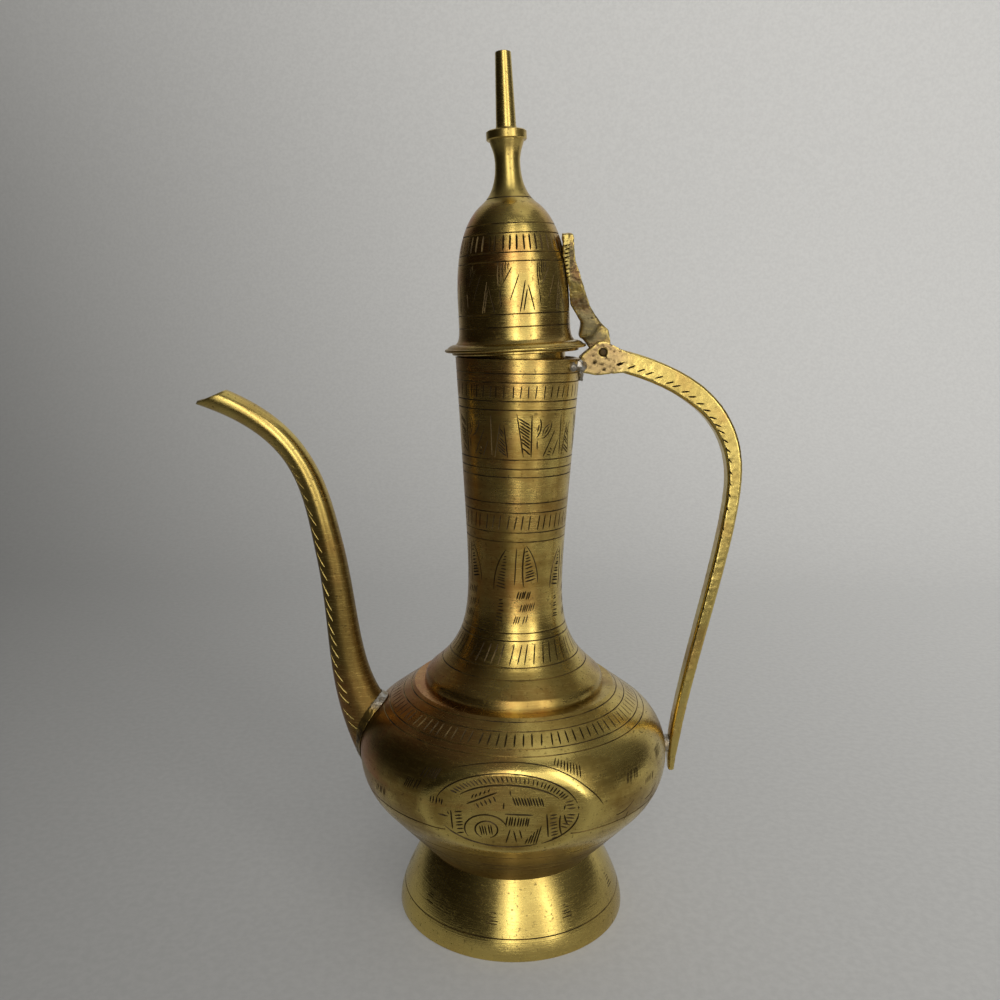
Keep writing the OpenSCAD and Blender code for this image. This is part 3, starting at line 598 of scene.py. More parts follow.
def on_turned(strokes, radius, angle, base, place=None):
    """Wraps flat strokes round a turned piece, from an angle and a height."""
    heights = [p.y for stroke in strokes for p in stroke]
    grip = radius(base + (min(heights) + max(heights)) / 2 * MM)
    wrapped = []
    for stroke in strokes:
        row = []
        for p in stroke:
            z = base + p.y * MM
            r = radius(z)
            q = angle + p.x * MM / grip
            point = Vector((r * cos(q), r * sin(q), z))
            row.append(place @ point if place else point)
        wrapped.append(row)
    return wrapped


def tick_band(band, margin, hand, radius, middle=None, place=None):
    """Slanted ticks round a turned piece, a margin inside the band, spaced for the girth at its middle."""
    count, low, high, slant = band
    girth = tau * radius((middle or (low + high) / 2) * MM) / MM
    top = high - low - margin
    ticks = []
    for i in range(count):
        along = girth * (i + hand.gauss(0, 0.09)) / count
        tip = hand.gauss(0, 0.12)
        ends = (along - slant / 2, margin + abs(tip)), (along + slant / 2 + tip, top - abs(tip))
        ticks.append(line(*ends))
    return on_turned(ticks, radius, 0.0, low * MM, place)


def repeated(count, panels, hand, radius, slip=0.12, place=None):
    """Panels (strokes, turn, height) that are drawn by hand again and again round a turned piece."""
    marks = []
    for k in range(count):
        for strokes, turn, height in panels:
            panel = by_hand(strokes, hand, slip)
            marks += on_turned(panel, radius, turn + tau * k / count, height, place)
    return marks


def on_medallion(strokes, side):
    """Lays flat strokes on the front or the back medallion."""
    v = props("vessel")
    turn = Matrix.Rotation(v.medallion_turn, 3, "Z")
    laid = []
    for stroke in strokes:
        row = []
        for p in stroke:
            x, z = p.x * v.medallion_spread * MM, KEEL.z + p.y * v.medallion_spread * MM
            row.append(turn @ Vector((-side * x, side * medallion_depth(x, z), z)))
        laid.append(row)
    return laid


# Metals.


class Net:
    """Short calls for the nodes of one tree."""

    def __init__(self, tree):
        self.tree = tree

    def fill(self, inputs, values):
        """Fills a node's inputs by values or links."""
        for key, value in values.items():
            if isinstance(value, bpy.types.NodeSocket):
                self.tree.links.new(value, inputs[key])
            else:
                inputs[key].default_value = value

    def add(self, kind, inputs=None, **settings):
        """Adds a node, sets its settings, fills its inputs and gives its outputs."""
        node = self.tree.nodes.new(kind)
        for key, value in settings.items():
            setattr(node, key, value)
        self.fill(node.inputs, inputs or {})
        return node.outputs

    def math(self, operation, a, b=0.0):
        """Result of a maths node."""
        return self.add("ShaderNodeMath", {0: a, 1: b}, operation=operation)[0]

    def times(self, first, *others):
        """Product of values."""
        for other in others:
            first = self.math("MULTIPLY", first, other)
        return first

    def sum(self, *terms):
        """Sum of values; a pair of values stands for their product."""
        values = [self.times(*term) if isinstance(term, tuple) else term for term in terms]
        total = values[0]
        for value in values[1:]:
            total = self.math("ADD", total, value)
        return total

    def ramp(self, value, low, high):
        """The value stretched from the span low to high, smoothly, to 0 to 1."""
        span = {"Value": value, "From Min": low, "From Max": high}
        return self.add("ShaderNodeMapRange", span, interpolation_type="SMOOTHSTEP")[0]

    def blend(self, share, a, b):
        """Colour between a and b, each a socket or red, green and blue."""
        a, b = (c if isinstance(c, bpy.types.NodeSocket) else (*c, 1.0) for c in (a, b))
        return self.add("ShaderNodeMix", {0: share, 6: a, 7: b}, data_type="RGBA")[2]

    def layers(self, base, *films):
        """A colour under films, each given by its share and its colour."""
        for share, film in films:
            base = self.blend(share, base, film)
        return base

    def noise(self, vector, scale, detail=4.0, roughness=0.55, dimensions="3D"):
        """Noise value of a 3D place, or of one number for 1D."""
        key = "W" if dimensions == "1D" else "Vector"
        inputs = {key: vector, "Scale": scale, "Detail": detail, "Roughness": roughness}
        return self.add("ShaderNodeTexNoise", inputs, noise_dimensions=dimensions)[0]

    def bump(self, height, strength, distance):
        """Normal of a surface with a height."""
        return self.add("ShaderNodeBump", {"Strength": strength, "Distance": distance, "Height": height})[0]

    def parts(self, vector):
        """The three numbers of a vector."""
        return self.add("ShaderNodeSeparateXYZ", {0: vector})

    def attribute(self, name):
        """A number that the mesh holds for each point."""
        return self.add("ShaderNodeAttribute", attribute_name=name)["Fac"]

    def placed(self, tree, inputs):
        """Outputs of a node group placed in a material."""
        return self.add("ShaderNodeGroup", inputs, node_tree=tree)


def group(name, outputs, **numbers):
    """A new node group of a vector and numbers with their defaults: its net, its inputs and its outputs."""
    tree = bpy.data.node_groups.new(name, "ShaderNodeTree")
    tree.interface.new_socket("Vector", in_out="INPUT", socket_type="NodeSocketVector")
    for label, default in numbers.items():
        socket = tree.interface.new_socket(label, in_out="INPUT", socket_type="NodeSocketFloat")
        socket.default_value = default
    for label in outputs:
        tree.interface.new_socket(label, in_out="OUTPUT", socket_type="NodeSocketFloat")
    net = Net(tree)
    return net, net.add("NodeGroupInput"), tree.nodes.new("NodeGroupOutput").inputs


@functools.cache
def tarnish_group():
    """Blotches of brown film, coppery clouds and fine specks."""
    net, given, out = group("Tarnish", ("Film", "Copper", "Specks"), Size=40.0)
    place, size = given["Vector"], given["Size"]
    far = net.add("ShaderNodeVectorMath", {0: place, 1: (0.7, 0.3, 0.5)}, operation="ADD")[0]
    net.fill(out, {
        "Film": net.ramp(net.noise(place, size, 6.0, 0.62), 0.36, 0.66),
        "Copper": net.ramp(net.noise(far, net.times(size, 0.8), 4.0, 0.6), 0.44, 0.66),
        "Specks": net.ramp(net.noise(far, net.times(size, 22.0), 2.0, 0.5), 0.60, 0.72),
    })
    return net.tree


@functools.cache
def turning_group():
    """Fine rings that a turning tool leaves, and the broad bands they gather in."""
    net, given, out = group("Turning marks", ("Rings", "Bands"), Pitch=2200.0, Lean=0.6)
    x, y, z = net.parts(given["Vector"])
    across = net.math("SQRT", net.sum((x, x), (y, y)))
    run = net.sum(z, (across, given["Lean"]))
    net.fill(out, {
        "Rings": net.noise(run, given["Pitch"], 2.0, 0.6, "1D"),
        "Bands": net.noise(run, net.times(given["Pitch"], 0.12), 2.0, 0.5, "1D"),
    })
    return net.tree


@functools.cache
def wear_group():
    """Hairline scratches from handling and cleaning."""
    net, given, out = group("Handling wear", ("Hairlines",), Scale=60.0)
    lines = []
    for turn in ((0.3, 0.9, 0.2), (1.2, 0.2, 1.1)):
        way = {"Vector": given["Vector"], "Rotation": turn, "Scale": (1.0, 1.0, 14.0)}
        value = net.noise(net.add("ShaderNodeMapping", way)[0], given["Scale"], 3.0, 0.5)
        near = net.math("ABSOLUTE", net.sum(value, -0.5))
        lines.append(net.sum((net.ramp(near, 0.0, 0.012), -1.0), 1.0))
    net.fill(out, {"Hairlines": net.math("MAXIMUM", *lines)})
    return net.tree


def new_material(name, metallic):
    """A material, its net, the inputs of its Principled shader and its Object coordinates."""
    metal = bpy.data.materials.new(name)
    metal.use_nodes = True
    net = Net(metal.node_tree)
    shader = metal.node_tree.nodes["Principled BSDF"].inputs
    shader["Metallic"].default_value = metallic
    return metal, net, shader, net.add("ShaderNodeTexCoord")["Object"]


def spun_metals(name, film, copper, **look):
    """The three finishes of an engraved piece: its brass, its cuts and its rings."""
    return [brass(name, film, copper, **look), groove("cut_patina", 0.22), groove("ring_patina", 0.85)]


@functools.cache
def brass(name, film, copper, rings=0.5, lean=0.6, blush=0.0, soil=(1.0, 0.0, 0.0), rims=False, rough=0.17):
    """Spun brass: rubbed bright where it is touched, filmed brown elsewhere, ringed by the turning tool.

    The blush share is a coppery tint on the spout's side, above the belly: coppery tarnish, and partly a
    painted reflection of the spout. The soil is the height in millimetres from which painted shade darkens
    the film, the height where it is darkest, and by how much. With rims, the film is rubbed off a
    medallion's rim: wear, and partly a painted highlight along the rim.
    """
    f = props("finish")
    metal, net, shader, place = new_material(name, 1.0)
    tarnish = net.placed(tarnish_group(), {"Vector": place, "Size": 38.0})
    turning = net.placed(turning_group(), {"Vector": place, "Pitch": 2600.0, "Lean": lean})
    hairlines = net.placed(wear_group(), {"Vector": place, "Scale": 70.0})["Hairlines"]
    x, _, z = net.parts(place)
    # Painted shade: the film and the patina thicken below a height, darkening the lower bowl and the lower
    # spout.
    darkens_below, darkest_at, amount = soil
    soiled = net.times(net.ramp(z, darkens_below * MM, darkest_at * MM), amount)
    share = net.sum((turning["Bands"], 0.5 * film), (tarnish["Film"], 0.75 * film), soiled)
    # Near a medallion's rim the film thins: wear, and a painted highlight along the rim.
    if rims:
        share = net.times(share, net.sum((net.attribute("rubbed"), -0.9), 1.0))
    # Copper clouds thicken towards the spout's side, and a copper tint lies there above 72 mm: coppery
    # tarnish, and partly a painted reflection of the spout.
    left = net.ramp(x, 12 * MM, -24 * MM)
    clouds = net.times(tarnish["Copper"], net.sum((left, 0.75 * copper), 0.25 * copper))
    warm = net.times(net.ramp(x, 0.0, -20 * MM), net.ramp(z, 72 * MM, 79 * MM), blush)
    base = net.layers(
        f.bright, (share, f.dull), (net.times(soiled, 0.4), f.patina),
        (net.math("MAXIMUM", clouds, warm), f.copper), (net.times(tarnish["Specks"], 0.45), f.patina),
        (net.times(hairlines, 0.35), f.bright),
    )
    gloss = net.sum((share, 0.16), (tarnish["Specks"], 0.15), (hairlines, 0.08), rough)
    dents = net.noise(place, 110.0, 3.0)
    height = net.sum((turning["Rings"], rings), (dents, 0.8), (hairlines, -0.08))
    net.fill(shader, {"Base Color": base, "Roughness": gloss, "Normal": net.bump(height, 0.35, 0.12 * MM)})
    return metal


@functools.cache
def groove(name, rubbed, bare=0.0):
    """Dark film in the engraved cuts, rubbed through in places, or a cut painted partly bright: bare metal,
    and a painted glint of its walls.
    """
    f = props("finish")
    metal, net, shader, place = new_material(name, 0.8)
    film = net.placed(tarnish_group(), {"Vector": place, "Size": 120.0})["Film"]
    # The bare share paints the cut bright: bare metal, and a painted glint of its walls.
    base = net.layers(f.patina, (net.times(film, rubbed), f.dull), (bare, f.bright))
    net.fill(shader, {"Base Color": base, "Roughness": net.sum((film, -0.2), 0.55)})
    return metal


@functools.cache
def casting(name, film, grain, rough, sooty=False):
    """Sand-cast brass: bright on its worn heights, dark in its hollows and pits."""
    f = props("finish")
    metal, net, shader, place = new_material(name, 1.0)
    tarnish = net.placed(tarnish_group(), {"Vector": place, "Size": 90.0})
    hairlines = net.placed(wear_group(), {"Vector": place, "Scale": 90.0})["Hairlines"]
    worn, raw = net.attribute("worn"), net.attribute("raw")
    sand = net.noise(place, 620.0, 4.0, 0.6)
    pits = net.sum((net.ramp(sand, 0.30, 0.46), -0.7 * grain), 0.7 * grain)
    hollows = net.sum((net.ramp(worn, 0.12, 0.42), -1.0), 0.9)
    low = net.math("MAXIMUM", pits, hollows)
    rubbed = net.math("MAXIMUM", net.times(hairlines, 0.3), net.times(net.ramp(worn, 0.6, 0.9), 0.8))
    base = net.layers(
        f.bright, (net.times(tarnish["Film"], film), f.sooty if sooty else f.dull),
        (net.times(tarnish["Copper"], 0.3), f.copper), (net.times(raw, 0.75), f.raw),
        (low, f.patina), (rubbed, f.bright),
    )
    gloss = net.sum((low, 0.3), (tarnish["Film"], 0.14), (raw, 0.16), (rubbed, -0.12), rough)
    rough_skin = net.bump(sand, 0.5 * grain, 0.3 * MM)
    net.fill(shader, {"Base Color": base, "Roughness": gloss, "Normal": rough_skin})
    return metal


@functools.cache
def soft_solder(name, darkens_below):
    """Grey solder, lumpy and half dulled, under a brown film below a height."""
    f = props("finish")
    metal, net, shader, place = new_material(name, 0.95)
    tarnish = net.placed(tarnish_group(), {"Vector": place, "Size": 260.0})
    film, height = tarnish["Film"], net.parts(place)[2]
    dulled = (0.16, 0.14, 0.10)
    clean = net.layers(f.solder, (net.times(film, 0.7), dulled), (net.times(tarnish["Copper"], 0.45), f.dull))
    brown = net.blend(film, f.dull, f.patina)
    net.fill(shader, {
        "Base Color": net.blend(net.ramp(height, darkens_below, darkens_below + 4 * MM), brown, clean),
        "Roughness": net.sum((film, 0.25), 0.28),
        "Normal": net.bump(net.noise(place, 420.0), 0.6, 0.4 * MM),
    })
    return metal


class EWER_OT_foot(bpy.types.Operator):
    """Spins the hollow foot and cuts its rings"""

    bl_idname = "ewer.foot"
    bl_label = "Foot"

    def execute(self, context):
        v, f = props("vessel"), props("finish")
        foot_r = FOOT_TOP.y
        skirt = bowed((foot_r, v.foot_lip_h), (v.foot_top_r, FOOT_TOP.z), v.foot_bulge, 24)
        way = (skirt[-1] - skirt[0]).normalized()
        inside = [p + v.foot_wall * Vector((-way.y, way.x)) for p in skirt]
        seat = FOOT_TOP.z - v.plug_h
        edge = 0.5 * MM
        above = [p for p in skirt if p.y > 2.2 * v.foot_lip_h]
        guides = Vector((foot_r, 0.8 * v.foot_lip_h)), mix(skirt[0], above[0], 0.4)
        lip = [cubic(Vector((foot_r, edge)), *guides, above[0], t) for t in shares(12)[:-1]]
        outer = scored([(foot_r - edge, 0.0), *lip, *above], FOOT_RINGS, f.ring_cut, 0.9 * MM)
        inner = [(v.plug_r, FOOT_TOP.z), (v.plug_r, seat)]
        inner += [p for p in reversed(inside) if p.y < seat and p.x > v.plug_r]
        inner += [(foot_r - v.foot_wall, 0.0)]
        metals = spun_metals("foot_brass", 0.45, 0.15)
        foot = finished(spun(outer + plain(inner)), "foot_ring", metals, "vessel", "foot")

        def radius(z):
            for a, b in zip(skirt, skirt[1:]):
                if a.y <= z <= b.y:
                    return mix(a.x, b.x, (z - a.y) / (b.y - a.y))
            return foot_r

        mark = rungs(((-2.2, 0.0), (-0.4, 5.0)), ((2.2, 0.0), (0.4, 5.0)), 5)
        panels = ((mark, FOOT_LEAF_TURN, FOOT_LEAF_Z),)
        marks = repeated(FOOT_LEAVES, panels, random.Random(FOOT_SEED), radius, 0.25)
        carve(foot, marks, f.tick_cut * 0.8)
        return {"FINISHED"}


def medallion_hatching():
    """Hatched border, ladders and patches of a medallion."""
    strokes = []
    for turn in range(28, 150, 4):
        q, slant = radians(turn), radians(turn) - 0.03
        strokes.append(line((19.7 * cos(q), 10.6 * sin(q)), (17.7 * cos(slant), 8.8 * sin(slant))))
    for turn in range(-30, 24, 6):
        q = radians(turn)
        strokes.append(line((19.8 * cos(q), 10.6 * sin(q)), (17.4 * cos(q), 9.2 * sin(q))))
    return strokes + ladders(
        ((1.0, 4.5), (10.0, 4.3), (2.0, 1.9), (10.8, 1.7), 11),
        ((-0.4, -1.6), (6.8, -1.8), (-0.9, -4.7), (6.3, -4.5), 9),
        ((4.8, -10.3), (8.6, -10.3), (5.6, -8.8), (10.2, -3.8), 5),
        ((12.1, -0.8), (12.8, -9.2), (14.2, -0.4), (14.7, -8.6), 8),
        ((-15.6, 0.6), (-14.8, -8.2), (-13.4, 0.9), (-12.8, -7.8), 8),
        ((-8.6, -4.8), (-4.4, -4.4), (-7.8, -7.8), (-3.9, -7.6), 5),
        ((-11.2, 3.1), (-5.2, 5.8), (-10.6, 4.5), (-4.8, 6.9), 5),
        ((-9.8, 1.9), (-3.6, 4.6), (-9.0, 0.6), (-2.9, 3.0), 5),
        ((-22.9, 3.4), (-18.6, 2.6), (-23.4, -1.8), (-19.0, 0.4), 5),
    )


def medallion_frame():
    """The oval frame of a medallion, open at its left, and the line inside its border."""
    frame_arcs = ((12, 166), (-60, 8), (-150, -64))
    outer = [oval((-0.4, 0.0), 21.0, 11.5, *arc) for arc in frame_arcs]
    return outer + [oval((0.0, 0.0), 16.9, 8.1, 30, 146)]


def medallion_lines():
    """The fruit, the stems and the rails of a medallion's ladders."""
    fruit = [oval((-6.2, -5.9), 6.2, 4.6, 14, 215), oval((-6.2, -6.1), 3.3, 2.7, -70, 245)]
    return fruit + drawn(
        (-1.2, -0.6, -1.0, 2.6), (-11.2, -0.6, -1.4, -0.2), (-12.0, 1.8, -3.2, 5.8),
        (-0.4, -10.2, 0.8, -5.8), (1.7, -6.0, 2.6, -9.8), (3.5, -5.8, 4.2, -8.6),
        (0.6, 6.6, 0.9, 4.9), (0.8, 5.6, 12.6, 5.2), (-0.9, -0.7, 7.2, -0.9), (11.2, 0.2, 11.8, -8.0),
        (15.4, -0.4, 15.7, -7.4, 0.5), (16.6, 2.2, 17.4, -4.0, 0.6),
        (-16.6, 0.8, -15.9, -6.6), (-12.4, 1.2, -11.7, -7.2), (-20.2, -2.2, -17.4, -2.6),
        (-19.0, -0.8, -18.6, -5.2), (-17.6, -1.2, -17.3, -2.1),
    )


# Half the plain strip along the seam of the belly's two halves.
SEAM_CLEAR = 0.6 * MM
# Patches and stems between the medallions: turns from a medallion's middle, and heights above the keel.
LEAF_PATCHES = ((-0.66, 5.0), (-0.55, 9.5), (0.78, 6.0), (0.95, 1.0), (-0.95, -3.0), (1.15, 7.0))
STEM_TURNS = (0.72, 1.0)
# Line round the upper right of a medallion's rim: turns in degrees, heights in millimetres.
BROW = ((-26, 73.6), (-12, 76.4), (2, 77.0), (13, 75.6), (21, 72.2), (28, 66.4), (32, 60.6))


class EWER_OT_belly(bpy.types.Operator):
    """Spins the bowl and the shoulder, presses the medallions and engraves them"""

    bl_idname = "ewer.belly"
    bl_label = "Belly"

    def execute(self, context):
        v, f = props("vessel"), props("finish")
        self.bowl(v, f)
        self.shoulder(v, f)
        return {"FINISHED"}

    def bowl(self, v, f):
        """Lower half of the belly with its plug."""
        outer = scored(list(reversed(belly_outline(False, 0.0))), BOWL_RINGS, f.ring_cut * 1.3)
        floor, bore = FOOT_TOP.z - v.plug_h, v.plug_r - v.belly_wall
        inner = [(KEEL.x - v.belly_wall, KEEL.z), *belly_outline(False, v.belly_wall)[1:-1]]
        inner += [(bore, FOOT_TOP.z), (bore, floor + v.belly_wall), (0.0, floor + v.belly_wall)]
        inner += [(0.0, floor), (v.plug_r, floor), (v.plug_r, FOOT_TOP.z)]
        bm = spun(outer + plain(inner))
        flatten_medallions(bm)
        # Painted shade darkens the bowl's underside, below 43 mm.
        metals = spun_metals("belly_brass", 1.1, 0.15, soil=(43.0, 33.0, 1.5), rims=True)
        bowl = finished(bm, "lower_belly", metals, "vessel", "bowl")
        self.ornament(bowl, lambda z: z < KEEL.z - SEAM_CLEAR)

    def shoulder(self, v, f):
        """Upper half of the belly with the ledge that carries the neck."""
        outer = scored(belly_outline(True, 0.0), SHOULDER_RINGS, f.ring_cut)
        seat_r = SKIRT_R - v.seat_w
        inner = [(seat_r, NECK_LOW.z), (seat_r, NECK_LOW.z - v.belly_wall)]
        inner += list(reversed(belly_outline(True, v.belly_wall)))
        bm = spun(outer + plain(inner))
        flatten_medallions(bm)
        metals = spun_metals("shoulder_brass", 1.05, 0.6, blush=0.6, rims=True)
        shoulder = finished(bm, "upper_belly", metals, "vessel", "shoulder")
        ticks = tick_band(SHOULDER_BAND, 0.2, random.Random(SHOULDER_SEED), belly_radius)
        carve(shoulder, ticks, f.tick_cut)
        self.ornament(shoulder, lambda z: z > KEEL.z + SEAM_CLEAR)

    def ornament(self, piece, here):
        """Engraves what falls on one half of the belly: the medallions, and leaf marks between them."""
        f = props("finish")
        hand = random.Random(BELLY_SEED)
        hatching, outlines, lines = [], [], []
        for side in (-1, 1):
            hatching += on_medallion(by_hand(medallion_hatching(), hand, 0.08), side)
            outlines += on_medallion(by_hand(medallion_frame(), hand, 0.08), side)
            lines += on_medallion(by_hand(medallion_lines(), hand, 0.08), side)
            front = pi / 2 * side
            corner = rungs(((0.0, 0.0), (9.0, -4.4)), ((1.2, 1.6), (9.6, -1.0)), 9)
            hatching += on_turned(corner, belly_radius, front + 0.24, KEEL.z + 14.4 * MM)
            for turn, height in LEAF_PATCHES:
                patch = by_hand(rungs(((-3.2, -1.6), (3.2, -1.0)), ((-1.8, 1.8), (4.4, 2.4)), 8), hand, 0.08)
                hatching += on_turned(patch, belly_radius, front + turn, KEEL.z + height * MM)
            for turn in STEM_TURNS:
                stem = by_hand(drawn((-4.0, -6.0, 4.0, -3.0, 1.0), (1.0, -10.0, 2.0, -6.6)), hand)
                outlines += on_turned(stem, belly_radius, front + turn, KEEL.z + 1.0 * MM)
            lines.append(self.brow(front))
        for strokes in (hatching, outlines, lines):
            clipped = [[p for p in stroke if here(p.z)] for stroke in strokes]
            carve(piece, [stroke for stroke in clipped if len(stroke) > 2], f.tick_cut * 0.92)
        rub_rims(piece)

    @staticmethod
    def brow(front):
        """Line on the belly round the upper right of a medallion's rim."""
        marks = [Vector(mark) for mark in BROW]
        row = [mix(a, b, t) for a, b in zip(marks, marks[1:]) for t in shares(12)[:-1]]
        stroke = []
        for i in range(len(row)):
            near = row[max(i - 5, 0):i + 6]
            turn, height = sum(near, Vector((0, 0))) / len(near)
            q, r = front + radians(turn), belly_radius(height * MM)
            stroke.append(Vector((r * cos(q), r * sin(q), height * MM)))
        return stroke


def upper_panel():
    """Slanted hatching and a flower of the neck's upper panel, one repeat."""
    return ladders(
        ((-8.4, 3.0), (-7.4, 10.8), (-5.2, 0.9), (-6.3, 8.8), 8),
        ((-1.3, 14.4), (0.5, 3.2), (2.7, 12.0), (3.1, 0.9), 10),
        ((8.9, 1.0), (10.4, 4.4), (10.4, 0.8), (11.2, 3.6), 3),
    ) + drawn((5.3, 9.2, 5.7, 11.8), (7.8, 8.6, 9.3, 11.0), (5.3, 3.4, 5.2, 6.4))


def upper_outlines():
    """Sides of the hatched leaves, the flower's petals and the long lines of the neck's upper panel."""
    sides = drawn(
        (-8.9, 0.7, -6.9, 12.0), (-4.9, 0.7, -6.2, 11.6), (-1.9, 15.2, 0.5, 0.8), (3.4, 14.8, 3.5, 0.8),
    )
    petals = [*leaf((5.0, 7.4), (6.0, 13.6), 0.9), *leaf((6.9, 7.0), (10.2, 12.4), 0.9)]
    return sides + petals + drawn((7.6, 0.9, 11.9, 9.6), (11.4, 1.2, 13.4, 6.4), (14.4, 14.6, 14.6, 1.2))


def lower_panel():
    """Stepped hatching and leaves of the neck's lower panel, one repeat."""
    return ladders(
        ((-1.5, 2.2), (3.9, 2.6), (-0.7, 5.0), (4.7, 5.4), 7),
        ((0.6, 6.4), (6.0, 6.8), (1.4, 9.2), (6.8, 9.6), 7),
        ((-0.4, 10.8), (5.0, 11.2), (0.4, 13.6), (5.8, 14.0), 7),
        ((-7.6, 15.0), (-4.4, 26.5), (-4.0, 14.2), (-3.6, 26.8), 11),
        ((3.0, 16.6), (2.6, 28.0), (6.8, 17.6), (3.6, 28.4), 10),
        ((-7.4, 3.0), (-6.0, 11.0), (-4.6, 2.6), (-4.6, 11.4), 7),
    )


def lower_outlines():
    """Leaf edges of the neck's lower panel."""
    return drawn(
        (-8.2, 14.0, -3.8, 28.4, -1.2), (-3.2, 13.0, -3.2, 28.2, 0.5), (2.2, 15.6, 2.4, 29.6, -0.5),
        (7.6, 16.6, 3.2, 29.8, 1.1), (-1.0, 16.0, -0.4, 29.0),
    )


class EWER_OT_neck(bpy.types.Operator):
    """Spins the neck and cuts its rings, tick bands and panels"""

    bl_idname = "ewer.neck"
    bl_label = "Neck"

    def execute(self, context):
        v, f = props("vessel"), props("finish")
        seat, rim = NECK_LOW.z, NECK_HIGH.z
        edge = 0.3 * MM
        heights = [mix(seat + v.step_h, rim - edge, t**1.6) for t in shares(90)]
        step = bowed((SKIRT_R, seat), (SKIRT_R - v.step_in, seat + v.step_h), 0.25 * MM, 8)
        outer = scored([*step, *((neck_radius(z), z) for z in heights[1:])], NECK_RINGS, f.ring_cut)
        inner = [(v.rim_r - v.neck_wall, rim), (v.rim_r - v.neck_wall, rim - edge)]
        inner += [(neck_radius(z) - v.neck_wall, z) for z in reversed(heights[:-1:3])]
        inner += [(SKIRT_R - v.neck_wall, seat)]
        metals = spun_metals("neck_brass", 0.95, 0.7, blush=0.3)
        neck = finished(spun(outer + plain(inner)), "neck_tube", metals, "vessel", "neck")
        hand = random.Random(NECK_SEED)
        ticks = [tick for band in NECK_BANDS for tick in tick_band(band, 0.3, hand, neck_radius)]
        carve(neck, ticks, f.tick_cut)
        for upper, lower in ((upper_panel(), lower_panel()), (upper_outlines(), lower_outlines())):
            panels = (upper, UPPER_PANEL_TURN, UPPER_PANEL_Z), (lower, LOWER_PANEL_TURN, LOWER_PANEL_Z)
            carve(neck, repeated(NECK_PANELS, panels, hand, neck_radius), f.tick_cut * 0.9)
        return {"FINISHED"}


# The spout: guides and angles of its axis, angle and place of the beak's cut, how fast it tapers from its
# root, and between which places along it the beak narrows.
ROOT_GUIDE, MID_GUIDE_LOW, MID_GUIDE_HIGH, END_GUIDE = 25 * MM, 29 * MM, 25 * MM, 41 * MM
ROOT_ANGLE, MID_LEAN, TIP_ANGLE, BEAK_ANGLE = radians(56), radians(11.8), radians(16), radians(26)
BEAK_SHIFT = Vector((2.5, -5.3)) * MM
SPOUT_TAPER = 0.33
BEAK_NARROWING = (1.0, 1.5)
# Its ticks: where they start and end along it, half the run of one, its side in degrees and its slant.
TICK_START, TICK_END, TICK_HALF = 0.12, 1.62, 0.032
TICK_SIDE, TICK_SLANT = 128, radians(14)


def spout_axis(s):
    """Spout's axis in the plane of the handle, from 0 at the root to 2 at the end."""
    t = props("fittings")
    root = Vector((-(KEEL.x - t.root_in), KEEL.z + t.root_rise))
    middle = Vector((-(KEEL.x + t.mid_out), KEEL.z + t.mid_rise))
    end = Vector((-(KEEL.x + t.reach), KEEL.z + t.end_rise))
    up = Vector((-sin(MID_LEAN), cos(MID_LEAN)))
    if s < 1:
        return cubic(root, root + ROOT_GUIDE * Vector((-cos(ROOT_ANGLE), sin(ROOT_ANGLE))),
                     middle - MID_GUIDE_LOW * up, middle, s)
    return cubic(middle, middle + MID_GUIDE_HIGH * up,
                 end - END_GUIDE * Vector((-cos(TIP_ANGLE), sin(TIP_ANGLE))), end, s - 1)


def spout_point(s, q):
    """Place on the spout's skin; q is 0 on the side of the neck and a quarter turn at the back."""
    t = props("fittings")
    narrow = exp(-max(s, 0.0) / SPOUT_TAPER)
    share = min(max((s - BEAK_NARROWING[0]) / (BEAK_NARROWING[1] - BEAK_NARROWING[0]), 0.0), 1.0)
    width = mix(mix(t.slim_w, t.beak_w, share), t.root_w, narrow)
    thick = mix(t.slim_t, t.root_t, narrow)
    way = (spout_axis(s + 0.01) - spout_axis(s - 0.01)).normalized()
    p = spout_axis(s) + Vector((way.y, -way.x)) * (width / 2 * cos(q))
    return Vector((p.x, thick / 2 * sin(q), p.y))


def halving(test, low, high):
    """Where a test turns true between low and high."""
    for _ in range(18):
        middle = (low + high) / 2
        low, high = (low, middle) if test(middle) else (middle, high)
    return high


@functools.cache
def spout_ends(q):
    """Where a line of the skin leaves the belly, and where it meets the beak's cut."""
    t = props("fittings")
    beak = Vector((-(KEEL.x + t.reach), KEEL.z + t.end_rise)) + BEAK_SHIFT

    def off_belly(s):
        p = spout_point(s, q)
        return hypot(p.x, p.y) - belly_radius(p.z) > t.root_film

    def past_beak(s):
        p = spout_point(s, q)
        return (Vector((p.x, p.z)) - beak).dot(Vector((-sin(BEAK_ANGLE), cos(BEAK_ANGLE)))) >= 0

    return halving(off_belly, -0.3, 0.6), halving(past_beak, 1.3, 2.2)


